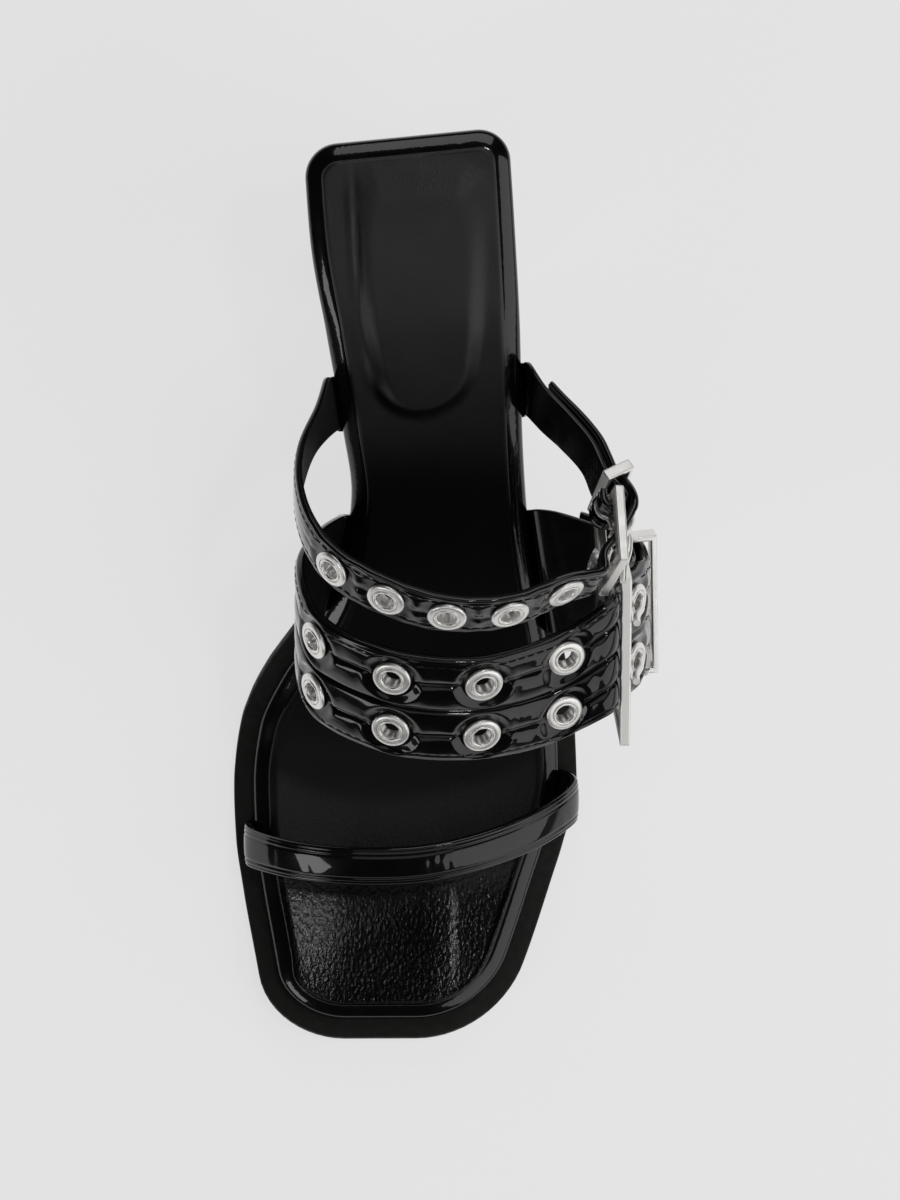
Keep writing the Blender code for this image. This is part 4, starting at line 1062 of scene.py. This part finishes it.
class Buckle:
    """A frame's own axes: down the strap, forward along its bars, and out."""

    def __init__(self, sizes):
        self.sizes = sizes
        self.origin = np.array(sizes["far_bar"], float)
        self.forward = unit(sizes["forward"])
        down = np.array(sizes["down"], float)
        self.down = unit(down - np.dot(down, self.forward) * self.forward)
        self.out = np.cross(self.forward, self.down)

    def point(self, down, forward, out):
        """A point by its distances from the middle of the far bar."""
        return self.origin + down * self.down + forward * self.forward + out * self.out

    def row(self, down, out, width):
        """A row of a strap across the frame."""
        shift = self.sizes["strap_shift"]
        return self.point(down, shift - width / 2, out), self.point(down, shift + width / 2, out)

    def strap_rows(self, width):
        """The strap under the far bar and out over the pivot bar."""
        under = -(self.sizes["thick"] / 2 + self.sizes["clear"] + STRAP_THICK / 2)
        reach = self.sizes["reach"]
        rise = STRAP_OVER_PIVOT - under
        places = [(near + reach * far, under + rise * share) for near, far, share in STRAP_CLIMB]
        return [self.row(*place, width) for place in places]

    def loop_rows(self, width):
        """The tab's end from its return, round the pivot bar, to its outer layer."""
        reach = self.sizes["reach"]
        rows = [
            self.row(reach + LOOP_RETURN, -LOOP_RADIUS, width),
            self.row(reach + LOOP_RETURN / 2, -LOOP_RADIUS, width),
        ]
        for step in range(LOOP_STEPS + 1):
            angle = -math.pi / 2 - math.pi * step / LOOP_STEPS
            place = (reach + LOOP_RADIUS * math.cos(angle), LOOP_RADIUS * math.sin(angle))
            rows.append(self.row(*place, width))
        return rows

    def frame(self, name, node):
        """The frame: a far bar, two side bars and a thin pivot bar, with eased edges."""
        half = self.sizes["length"] / 2
        edge = self.sizes["bar"] / 2
        low = self.sizes["reach"] + PIVOT_BAR / 2
        lift = self.sizes["thick"] / 2
        verts = []
        for out in (-lift, lift):
            for top, bottom, side in ((-edge, low, half), (edge, low - PIVOT_BAR, half - 2 * edge)):
                ring = ((top, -side), (bottom, -side), (bottom, side), (top, side))
                verts += [self.point(down, forward, out) for down, forward in ring]
        metal_loop(name, verts, node)

    def prong(self, node, forward, hole):
        """A prong round the pivot bar, out through the strap's hole and up to the far bar."""
        reach = self.sizes["reach"]
        radius = PIVOT_CORNER + GAP + PRONG_THICK / 2
        places = []
        for step in range(PRONG_WRAP_STEPS + 1):
            angle = math.radians(PRONG_WRAP_FROM - PRONG_WRAP_TURN * step / PRONG_WRAP_STEPS)
            places.append((reach + radius * math.cos(angle), radius * math.sin(angle)))
        middle, axis = hole
        before = middle - axis * PRONG_BEFORE_HOLE
        after = middle + axis * PRONG_AFTER_HOLE
        rest = self.sizes["thick"] / 2 + GAP + PRONG_THICK / 2
        places += [tuple(before), tuple(middle), tuple(after)]
        half = self.sizes["bar"] / 2
        places += [(after[0] - PRONG_BEND, after[1] + PRONG_LIFT / 4), (half, rest + PRONG_LIFT)]
        places.append((-half - PRONG_OVER_BAR, rest))
        path = smooth_path([self.point(d, forward, out) for d, out in places], PRONG_SPAN)
        verts, faces = rod(path, self.forward, PRONG_THICK / 2, PRONG_SIDES)
        piece(f"{node}_metal", verts, faces, "silver_metal", [node], sharp_deg=BLOCK_SHARP)


def metal_loop(name, verts, node):
    """A square-edged metal loop from two layers of an outer and an inner ring of four corners."""
    faces = []
    for k in range(4):
        n = (k + 1) % 4
        faces.append((k, n, 4 + n, 4 + k))
        faces.append((8 + k, 8 + n, 12 + n, 12 + k))
        faces.append((k, n, 8 + n, 8 + k))
        faces.append((4 + k, 4 + n, 12 + n, 12 + k))
    obj = piece(name, verts, faces, "silver_metal", [node], sharp_deg=LOOP_SHARP)
    bevel = obj.modifiers.new("eased_edges", "BEVEL")
    bevel.width = METAL_BEVEL * MM
    bevel.segments = BEVEL_STEPS
    bevel.limit_method = "ANGLE"
    bevel.angle_limit = math.radians(BEVEL_ANGLE)
    bevel.harden_normals = True


def rod(path, side, radius, sides):
    """Points and faces of a round rod along a path, with closed ends."""
    runs = unit(np.gradient(path, axis=0))
    lift = unit(np.cross(np.broadcast_to(side, runs.shape), runs))
    across = np.cross(runs, lift)
    angles = np.linspace(0, 2 * math.pi, sides, endpoint=False)
    ring = across[:, None] * np.cos(angles)[:, None] + lift[:, None] * np.sin(angles)[:, None]
    verts = (path[:, None] + ring * radius).reshape(-1, 3)
    top = (len(path) - 1) * sides
    faces = loft_faces(len(path), sides)
    faces += [list(range(sides)), list(range(top + sides - 1, top - 1, -1))]
    return verts, faces


def keeper(node, band, start, sizes):
    """A metal loop round a tab and the strap's tail on it."""
    length = start + sizes["at"]
    point, _, across, out = band.at(length)
    along = np.cross(across, out)
    half = np.linalg.norm(band.at(length, 1.0)[0] - point) + KEEPER_PLAY
    low = -(TAB_THICK / 2 + sizes["under"])
    high = TAIL_RISE + STRAP_THICK / 2 + sizes["over"]
    verts = []
    for run in (-sizes["width"] / 2, sizes["width"] / 2):
        for wall in (sizes["wall"], 0.0):
            ring = ((-half - wall, low - wall), (half + wall, low - wall))
            ring += ((half + wall, high + wall), (-half - wall, high + wall))
            verts += [point + along * run + across * side + out * lift for side, lift in ring]
    metal_loop(f"{node}_metal", verts, node)


class Eyelet:
    """A place on a band with an eyelet: its length along, millimetres across and its axes."""

    def __init__(self, band, node, length, across):
        self.node = node
        self.length = length
        self.across = across * band.width / 2
        point, self.along, _, self.out = band.at(length, across)
        self.forward = np.cross(self.out, self.along)
        self.place = point + self.out * STRAP_THICK / 2

    def takes(self, points):
        """True where points lie inside the barrel."""
        offset = points - self.place
        height = offset @ self.out
        radius = np.linalg.norm(offset - height[:, None] * self.out, axis=1)
        return (radius < EYELET_BARREL) & (abs(height) < BARREL_REACH)

    def metal(self):
        """The rolled ring and its barrel."""
        angles = np.linspace(0, 2 * math.pi, EYELET_SEGMENTS, endpoint=False)
        section = np.array(EYELET_SECTION)
        spokes = np.cos(angles)[:, None] * self.along + np.sin(angles)[:, None] * self.forward
        verts = self.place + spokes[:, None] * section[None, :, :1] + self.out * section[None, :, 1:]
        ring = len(section)
        faces = loft_faces(EYELET_SEGMENTS + 1, ring)
        faces = [[k % (EYELET_SEGMENTS * ring) for k in face] for face in faces]
        verts = verts.reshape(-1, 3)
        piece(f"{self.node}_ring", verts, faces, "silver_metal", [self.node], sharp_deg=RING_SHARP)


def edge_grooves(band, across):
    """Height of the folded and stitched lines beside a strap's edges."""
    height = 0.0
    for at, depth, width in EDGE_GROOVES:
        height = height - depth * np.exp(-((band.width / 2 - abs(across) - at) / width) ** 2)
    return height


def clamped(along, across, height, eyelets):
    """Holds the leather flat under each eyelet and gathers pleats beside it."""
    for eyelet in eyelets:
        ds = along - eyelet.length
        da = across - eyelet.across
        radius = np.hypot(ds, da)
        hold = 1 - ease((radius - CLAMP_RADIUS) / CLAMP_BLEND)
        pleats = []
        for turn, reach, depth, width in EYELET_PLEATS:
            angle = math.radians(turn)
            start = CLAMP_RADIUS + PLEAT_START * reach
            place = (eyelet.length + start * math.cos(angle), eyelet.across + start * math.sin(angle))
            pleats.append((*place, turn, reach, depth, width))
        puff = PUFF_RISE * np.exp(-((radius - PUFF_RADIUS) / PUFF_WIDTH) ** 2)
        loose = height + puff + crease_depth(along, across, pleats)
        height = loose * (1 - hold) + CLAMP_LEVEL * hold
    return height


def strap_creases(band, along, across, creases):
    """Height of a strap's creases, whose places are shares of its length."""
    placed = [(share * band.length[-1], *rest) for share, *rest in creases]
    return crease_depth(along, across, placed)


def vamp_relief(band, along, across, eyelets):
    """Padded tubes between sewn lines, gathered at the eyelets."""
    half = band.width / 2
    seams = [-half] + [seam * half for seam, depth in VAMP_SEAMS] + [half]
    height = np.zeros(np.broadcast(along, across).shape)
    for left, right in zip(seams, seams[1:]):
        t = np.clip((across - left) / (right - left), 0, 1)
        height = height + VAMP_PAD_RISE * np.sqrt(4 * t * (1 - t))
    for seam, depth in VAMP_SEAMS:
        height = height - depth * np.exp(-((across - seam * half) / VAMP_SEAM_WIDTH) ** 2)
    height = height + edge_grooves(band, across) + strap_creases(band, along, across, VAMP_CREASES)
    return clamped(along, across, height + soft_waves(along, across), eyelets)


def plain_relief(band, along, across, rise, creases, eyelets=()):
    """A slightly crowned strap with lines beside its edges."""
    crown = rise * (1 - (across / (band.width / 2)) ** 2)
    height = crown + edge_grooves(band, across) + strap_creases(band, along, across, creases)
    return clamped(along, across, height + soft_waves(along, across, PLAIN_STRAP_WAVES), eyelets)


def stitch_row(band, relief, across, skip):
    """Points and faces of each stitch at a place across a strap, leaving out the eyelets."""
    clear = EYELET_FLANGE + STITCH_CLEAR
    rods = []
    for length in np.arange(SMOOTH_CLEAR, band.length[-1] - STITCH_END, STITCH_PITCH):
        if any(math.hypot(length - e.length, across - e.across) < clear for e in skip):
            continue
        path = []
        for part, lift in STITCH_ARCH:
            place = length + part * STITCH_LENGTH
            point, _, forward, out = band.at(place, across / (band.width / 2))
            face = STRAP_THICK / 2 + float(relief(np.array([place]), np.array([across]))[0])
            path.append(point + out * (face + lift))
        rods.append(rod(np.array(path), forward, THREAD_RADIUS, STITCH_SIDES))
    return rods


def edge_lines(band):
    """Places across a strap of the stitched lines beside its edges."""
    line = band.width / 2 - EDGE_GROOVES[1][0]
    return [-line, line]


def stitches(node, band, relief, lines, skip=()):
    """All the stitches of a strap as one piece of thread."""
    verts = []
    faces = []
    count = 0
    for across in lines:
        for rod_verts, rod_faces in stitch_row(band, relief, across, skip):
            verts.append(rod_verts)
            faces += [[count + k for k in face] for face in rod_faces]
            count += len(rod_verts)
    piece(f"{node}_stitches", np.concatenate(verts), faces, "matte_leather")


def strap_layers(node, band, relief, eyelets=()):
    """The leather outside of a strap and the lining under it."""
    lanes = band.lanes(LANE_SPACING[node])
    drop = band.edge_drop(lanes, EDGE_RADIUS)
    across = lanes * band.width / 2
    outside = STRAP_THICK / 2 + relief(band.length[:, None], across[None, :]) - drop
    seam = -STRAP_THICK / 2 + LINING_THICK
    holes = [eyelet.takes for eyelet in eyelets]
    leather = band.body(f"{node}_leather", "patent_leather", [node], lanes, outside, seam, holes)
    narrow = band.lanes(LINING_SPACING) * (1 - LINING_SHRINK / (band.width / 2))
    band.body(f"{node}_lining", "matte_leather", (), narrow, seam, seam - LINING_THICK, holes)


def build_toe_strap():
    """The plain strap over the toes."""
    rows = seat_rows("medial", *TOE_STRAP_SEATS["medial"])
    rows += route_rows(TOE_STRAP_ROUTE, TOE_STRAP_WIDTH)
    rows += seat_rows("lateral", *TOE_STRAP_SEATS["lateral"])[::-1]
    band = Band(rows, TOE_STRAP_WIDTH)
    band.relax(SMOOTH_CLEAR, band.length[-1] - SMOOTH_CLEAR)

    def relief(along, across):
        return plain_relief(band, along, across, TOE_STRAP_PAD_RISE, TOE_STRAP_CREASES)

    strap_layers("toe_strap", band, relief)


def hole_on_frame(band, length, buckle):
    """An eyelet's middle and axis in a frame's (down, out) plane."""
    point, _, _, out = band.at(length)
    offset = point - buckle.origin
    middle = np.array((np.dot(offset, buckle.down), np.dot(offset, buckle.out)))
    return middle, unit((np.dot(out, buckle.down), np.dot(out, buckle.out)))


def slot_test(buckle, forward):
    """True where points lie in the slot of a tab's loop that lets a prong through."""
    def inside(points):
        offset = points - buckle.origin
        down = offset @ buckle.down - buckle.sizes["reach"]
        side = offset @ buckle.forward - forward
        out = offset @ buckle.out
        box = LOOP_RADIUS + TAB_THICK
        return (abs(side) < PRONG_SLOT / 2) & (abs(down) < box) & (abs(out) < box)

    return inside


def fastened_strap(name, seats, route, width, tab_route, sizes, tail_length, prong_places):
    """Bands of a strap from the medial rim to its tail and of the lateral tab, with the metal frame."""
    buckle = Buckle(sizes)
    tab_rows = buckle.loop_rows(width - LOOP_EASE) + route_rows(tab_route, width)
    tab_rows += seat_rows("lateral", *seats["lateral"])[::-1]
    tab = Band(tab_rows, width)
    start = tab.nearest(buckle.point(sizes["reach"], sizes["strap_shift"], LOOP_RADIUS))
    tail_rows = []
    for run in np.linspace(TAIL_FROM, tail_length, TAIL_ROWS):
        rear, _, _, out = tab.at(start + run, -1.0)
        front = tab.at(start + run, 1.0)[0]
        tail_rows.append((rear + out * TAIL_RISE, front + out * TAIL_RISE))
    rows = seat_rows("medial", *seats["medial"]) + route_rows(route, width)
    rows += buckle.strap_rows(width) + tail_rows
    band = Band(rows, width)
    band.relax(SMOOTH_CLEAR, band.nearest(buckle.origin) - SMOOTH_BEFORE_BAR)
    lanes = tab.lanes(TAB_SPACING)
    face = TAB_THICK / 2 + edge_grooves(tab, lanes * width / 2) - tab.edge_drop(lanes, EDGE_RADIUS)
    slots = [slot_test(buckle, forward) for forward in prong_places]
    node = f"{name}_tab"
    tab.body(f"{node}_leather", "patent_leather", [node], lanes, face[None, :], -TAB_THICK / 2, slots)
    buckle.frame(f"{name}_frame_metal", f"{name}_buckle_frame")
    return buckle, band, tab, start


def eyelet_row(name, band, across, held, first, pitch, count):
    """A row of eyelets, from the one that is held by a prong back along the strap."""
    backs = [0.0] + [first + k * pitch for k in range(count - 1)]
    return [Eyelet(band, f"{name}_{k}", held - back, across) for k, back in enumerate(backs, 1)]


def fit_metal(name, buckle, band, tab, start, eyelets, prongs, keeper_sizes):
    """Eyelets, prongs and keeper of a fastened strap."""
    for eyelet in eyelets:
        eyelet.metal()
    hole = hole_on_frame(band, eyelets[0].length, buckle)
    for node, forward in prongs:
        buckle.prong(node, forward, hole)
    keeper(f"{name}_keeper", tab, start, keeper_sizes)


def build_vamp():
    """The wide strap with two rows of eyelets and its two-prong buckle."""
    shift = VAMP_BUCKLE["strap_shift"]
    prong_places = [shift + across * VAMP_WIDTH / 2 for across in VAMP_EYELET_ROWS]
    buckle, band, tab, start = fastened_strap(
        "vamp", VAMP_SEATS, VAMP_ROUTE, VAMP_WIDTH, VAMP_TAB_ROUTE, VAMP_BUCKLE,
        VAMP_TAIL_LENGTH, prong_places,
    )
    held = band.nearest(buckle.point(VAMP_BUCKLE["hole_at"], shift, OVER_HOLE))
    eyelets = []
    for row, across in enumerate(VAMP_EYELET_ROWS, 1):
        spacing = (VAMP_EYELET_FIRST, VAMP_EYELET_PITCH, VAMP_EYELETS_A_ROW)
        eyelets += eyelet_row(f"vamp_eyelet_row_{row}", band, across, held, *spacing)

    def relief(along, across):
        return vamp_relief(band, along, across, eyelets)

    strap_layers("vamp_strap", band, relief, eyelets)
    seams = [seam * VAMP_WIDTH / 2 for seam, depth in VAMP_SEAMS]
    stitches("vamp_strap", band, relief, seams + edge_lines(band), eyelets)
    prongs = [(f"vamp_prong_{number}", forward) for number, forward in enumerate(prong_places, 1)]
    fit_metal("vamp", buckle, band, tab, start, eyelets, prongs, VAMP_KEEPER)


def build_instep():
    """The narrow strap with one row of eyelets and its buckle."""
    shift = INSTEP_BUCKLE["strap_shift"]
    buckle, band, tab, start = fastened_strap(
        "instep", INSTEP_SEATS, INSTEP_ROUTE, INSTEP_WIDTH, INSTEP_TAB_ROUTE, INSTEP_BUCKLE,
        INSTEP_TAIL_LENGTH, [shift],
    )
    held = band.nearest(buckle.point(INSTEP_BUCKLE["hole_at"], shift, OVER_HOLE))
    spacing = (INSTEP_EYELET_FIRST, INSTEP_EYELET_PITCH, INSTEP_EYELETS)
    eyelets = eyelet_row("instep_eyelet", band, 0.0, held, *spacing)

    def relief(along, across):
        return plain_relief(band, along, across, INSTEP_PAD_RISE, INSTEP_CREASES, eyelets)

    strap_layers("instep_strap", band, relief, eyelets)
    stitches("instep_strap", band, relief, edge_lines(band))
    fit_metal("instep", buckle, band, tab, start, eyelets, [("instep_prong", shift)], INSTEP_KEEPER)


def set_inputs(node, values):
    """Sets a node's inputs by name."""
    for name, value in values.items():
        node.inputs[name].default_value = value


def shader_of(name):
    """A new material with its node tree, its Principled shader and the object's own coordinates."""
    material = bpy.data.materials.new(name)
    material.use_nodes = True
    nodes = material.node_tree.nodes
    place = nodes.new("ShaderNodeTexCoord")
    return material, material.node_tree, nodes["Principled BSDF"], place.outputs["Object"]


def noise_of(tree, place, scale, detail, stretch=EVEN):
    """A noise pattern over places in metres, stretched along the axes."""
    mapping = tree.nodes.new("ShaderNodeMapping")
    set_inputs(mapping, {"Scale": stretch})
    tree.links.new(place, mapping.inputs["Vector"])
    noise = tree.nodes.new("ShaderNodeTexNoise")
    set_inputs(noise, {"Scale": scale, "Detail": detail})
    tree.links.new(mapping.outputs["Vector"], noise.inputs["Vector"])
    return noise.outputs["Fac"]


def mapped(tree, value, start, end, low, high, way="SMOOTHSTEP"):
    """A value brought from one range into another."""
    node = tree.nodes.new("ShaderNodeMapRange")
    node.interpolation_type = way
    set_inputs(node, {"From Min": start, "From Max": end, "To Min": low, "To Max": high})
    tree.links.new(value, node.inputs["Value"])
    return node.outputs["Result"]


def uneven(tree, place, scale, detail, low, high):
    """A noise pattern between two values."""
    return mapped(tree, noise_of(tree, place, scale, detail), *NOISE_SPAN, low, high, "LINEAR")


def combined(tree, operation, first, *others):
    """Values added or multiplied, one after the other."""
    for other in others:
        node = tree.nodes.new("ShaderNodeMath")
        node.operation = operation
        tree.links.new(first, node.inputs[0])
        tree.links.new(other, node.inputs[1])
        first = node.outputs["Value"]
    return first


def axis_of(tree, place, axis):
    """One coordinate of a place."""
    parts = tree.nodes.new("ShaderNodeSeparateXYZ")
    tree.links.new(place, parts.inputs["Vector"])
    return parts.outputs[axis]


def bumped(tree, shader, patterns):
    """Sets bumps on a shader, one after the other: pattern, height in millimetres and strength."""
    normal = None
    for pattern, height, strength in patterns:
        bump = tree.nodes.new("ShaderNodeBump")
        bump.inputs["Distance"].default_value = height * MM
        if isinstance(strength, float):
            bump.inputs["Strength"].default_value = strength
        else:
            tree.links.new(strength, bump.inputs["Strength"])
        tree.links.new(pattern, bump.inputs["Height"])
        if normal:
            tree.links.new(normal, bump.inputs["Normal"])
        normal = bump.outputs["Normal"]
    tree.links.new(normal, shader.inputs["Normal"])
    return normal


def make_finish(slot, name="", wrinkles=()):
    """A finish from its surface, its uneven roughness and its bumps, with the bumps' direction."""
    material, tree, shader, place = shader_of(name or f"{slot}_finish")
    set_inputs(shader, SURFACES[slot])
    tree.links.new(uneven(tree, place, *ROUGHNESS[slot]), shader.inputs["Roughness"])
    patterns = []
    for scale, detail, stretch, height, strength in BUMPS[slot] + wrinkles:
        patterns.append((noise_of(tree, place, scale, detail, stretch), height, strength))
    normal = bumped(tree, shader, patterns)
    return material, tree, shader, normal


def patent_leather(name="", wrinkles=()):
    """Black leather under a clear glossy film, with wrinkles where it is pulled round an edge."""
    material, tree, shader, normal = make_finish("patent_leather", name, wrinkles)
    tree.links.new(normal, shader.inputs["Coat Normal"])
    return material


def along_shoe(tree, place, column):
    """A value of the leather, or of the light and shade painted on it, that changes from the toe to the
    heel.
    """
    levels = [row[0] for row in LEATHER_ALONG]
    values = [row[LEATHER_COLUMNS.index(column)] for row in LEATHER_ALONG]
    ends = (levels[0] * MM, levels[-1] * MM)
    share = mapped(tree, axis_of(tree, place, "Y"), *ends, 0.0, 1.0, "LINEAR")
    node = tree.nodes.new("ShaderNodeValToRGB")
    node.color_ramp.interpolation = "EASE"
    stops = node.color_ramp.elements
    for level in levels[1:-1]:
        stops.new((level - levels[0]) / (levels[-1] - levels[0]))
    for stop, value in zip(stops, values):
        stop.color = (value, value, value, 1.0)
    tree.links.new(share, node.inputs["Fac"])
    return node.outputs["Color"]


def toe_dull(tree, place):
    """Share of the shine that is left on the middle of the toe, 1 elsewhere."""
    medial, full, fading, step = (x * MM for x in TOE_DULL_X)
    front, rear = (y * MM for y in TOE_DULL_Y)
    x = axis_of(tree, place, "X")
    rising = mapped(tree, x, medial, full, 0.0, 1.0)
    falling = mapped(tree, x, fading, step, 1.0, 0.0)
    lengthways = mapped(tree, axis_of(tree, place, "Y"), front, rear, 1.0, 0.0)
    dip = combined(tree, "MULTIPLY", rising, falling, lengthways)
    return mapped(tree, dip, 0.0, 1.0, 1.0, 1.0 - TOE_DULL)


def pad_clear(tree, place):
    """Share of the light left in the fold at the front of the heel pad, 1 elsewhere."""
    level = tree.nodes.new("ShaderNodeCombineXYZ")
    for axis in ("X", "Y"):
        tree.links.new(axis_of(tree, place, axis), level.inputs[axis])
    reach = tree.nodes.new("ShaderNodeVectorMath")
    reach.operation = "DISTANCE"
    tree.links.new(level.outputs["Vector"], reach.inputs[0])
    reach.inputs[1].default_value = (PAD_SHADOW_CENTRE[0] * MM, PAD_SHADOW_CENTRE[1] * MM, 0.0)
    distance = reach.outputs["Value"]
    middle = PAD_SHADOW_RADIUS * MM
    width = PAD_SHADOW_WIDTH * MM
    front, rear = PAD_SHADOW_FRONT * MM, PAD_SHADOW_REAR * MM
    inner = mapped(tree, distance, middle - width / 2, middle, 0.0, 1.0)
    outer = mapped(tree, distance, middle, middle + width, 1.0, 0.0)
    lengthways = mapped(tree, axis_of(tree, place, "Y"), front, rear, 1.0, 0.0)
    shade = combined(tree, "MULTIPLY", inner, outer, lengthways)
    return mapped(tree, shade, 0.0, 1.0, 1.0, PAD_SHADOW_SHARE)


def matte_leather():
    """Fine-grained leather of the insole and the linings, shinier and coarser towards the toe, with
    painted light on the heel seat, painted shade over the arch and the toe, and a painted shadow in the
    fold at the front of the heel pad.
    """
    material, tree, shader, place = shader_of("matte_leather_finish")
    # The base colour carries painted light and shade: lighter on the heel seat, darker over the arch and
    # the toe, with uneven clouds of real tone
    tint_and_painted_light = tree.nodes.new("ShaderNodeMix")
    tint_and_painted_light.data_type = "RGBA"
    set_inputs(tint_and_painted_light, {"A": MATTE_DARK, "B": MATTE_LIGHT})
    # Painted shadow of the fold at the front of the heel pad, darkening both colour and shine
    clear = pad_clear(tree, place)
    clouds = uneven(tree, place, *MATTE_CLOUDS)
    tone = combined(tree, "MULTIPLY", along_shoe(tree, place, "tint_and_painted_light"), clear, clouds)
    shine = combined(tree, "MULTIPLY", along_shoe(tree, place, "specular"), clear, toe_dull(tree, place))
    rough = combined(tree, "ADD", uneven(tree, place, *MATTE_UNEVEN), along_shoe(tree, place, "roughness"))
    tree.links.new(tone, tint_and_painted_light.inputs["Factor"])
    tree.links.new(tint_and_painted_light.outputs["Result"], shader.inputs["Base Color"])
    tree.links.new(shine, shader.inputs["Specular IOR Level"])
    tree.links.new(rough, shader.inputs["Roughness"])
    grain = (noise_of(tree, place, *MATTE_GRAIN), MATTE_GRAIN_HEIGHT, along_shoe(tree, place, "grain"))
    pores = (noise_of(tree, place, *MATTE_PORES), MATTE_PORE_HEIGHT, MATTE_PORE_STRENGTH)
    bumped(tree, shader, (grain, pores))
    return material


def sole_rubber():
    """Matte dark rubber, slightly brown."""
    return make_finish("sole_rubber")[0]


def heel_lacquer():
    """Glossy black cover of the heel."""
    return make_finish("heel_lacquer")[0]


def silver_metal():
    """Satin silver with a fine brushed unevenness."""
    return make_finish("silver_metal")[0]


def build_floor():
    """A plain pale floor that glows a little, less so far from the shoe."""
    half = FLOOR_SIZE / 2 * MM
    mesh = bpy.data.meshes.new("floor")
    corners = [(x * half, y * half, -FLOOR_DROP * MM) for x, y in ((-1, -1), (1, -1), (1, 1), (-1, 1))]
    mesh.from_pydata(corners, [], [(0, 1, 2, 3)])
    material, tree, shader, place = shader_of("floor_paper")
    set_inputs(shader, FLOOR_SURFACE)
    distance = tree.nodes.new("ShaderNodeVectorMath")
    distance.operation = "LENGTH"
    tree.links.new(place, distance.inputs[0])
    near, far = (reach * MM for reach in FLOOR_FADE)
    glow = mapped(tree, distance.outputs["Value"], near, far, FLOOR_GLOW, FLOOR_FAR_GLOW)
    tree.links.new(glow, shader.inputs["Emission Strength"])
    mesh.materials.append(material)
    floor = bpy.data.objects.new("floor", mesh)
    bpy.context.scene.collection.objects.link(floor)


def build_lights():
    """Soft studio panels, one of them for one finish alone, and a dim even sky."""
    for name, place, aim, width, height, watts, lit in LIGHTS:
        light = bpy.data.lights.new(name, "AREA")
        light.shape = "RECTANGLE"
        light.size = width * MM
        light.size_y = height * MM
        light.energy = watts
        obj = bpy.data.objects.new(name, light)
        obj.location = Vector(place) * MM
        obj.rotation_euler = (Vector(aim) - Vector(place)).to_track_quat("-Z", "Y").to_euler()
        obj.visible_camera = False
        bpy.context.scene.collection.objects.link(obj)
        if lit in MATERIALS:
            group = bpy.data.collections.new(name)
            for other in bpy.data.objects:
                if other.type == "MESH" and MATERIALS[lit].name in other.data.materials:
                    group.objects.link(other)
            obj.light_linking.receiver_collection = group
    world = bpy.data.worlds.new("sky")
    world.use_nodes = True
    set_inputs(world.node_tree.nodes["Background"], {"Color": WHITE, "Strength": SKY})
    bpy.context.scene.world = world


def build_camera():
    """The photograph's place above the shoes, turned to this shoe."""
    place = Vector(CAMERA_PLACE) * MM
    aim = Vector(CAMERA_AIM) * MM
    camera = bpy.data.cameras.new("camera")
    camera.sensor_fit = "HORIZONTAL"
    camera.sensor_width = CAMERA_SENSOR
    frame_width = FRAME_HEIGHT * IMAGE_SHAPE[0] / IMAGE_SHAPE[1] * MM
    camera.lens = CAMERA_SENSOR * (place - aim).length / frame_width
    camera.clip_end = CAMERA_FAR
    obj = bpy.data.objects.new("camera", camera)
    back = (place - aim).normalized()
    right = Vector((0.0, 1.0, 0.0)).cross(back).normalized()
    axes = Matrix((right, back.cross(right), back)).transposed()
    obj.matrix_world = Matrix.Translation(place) @ axes.to_4x4()
    bpy.context.scene.collection.objects.link(obj)
    bpy.context.scene.camera = obj


MATERIALS = {
    "patent_leather": patent_leather(),
    "matte_leather": matte_leather(),
    "sole_rubber": sole_rubber(),
    "heel_lacquer": heel_lacquer(),
    "silver_metal": silver_metal(),
}

build_sole()
build_heel()
build_toe_strap()
build_vamp()
build_instep()
build_floor()
build_lights()
build_camera()
bpy.context.scene.view_settings.view_transform = "Standard"
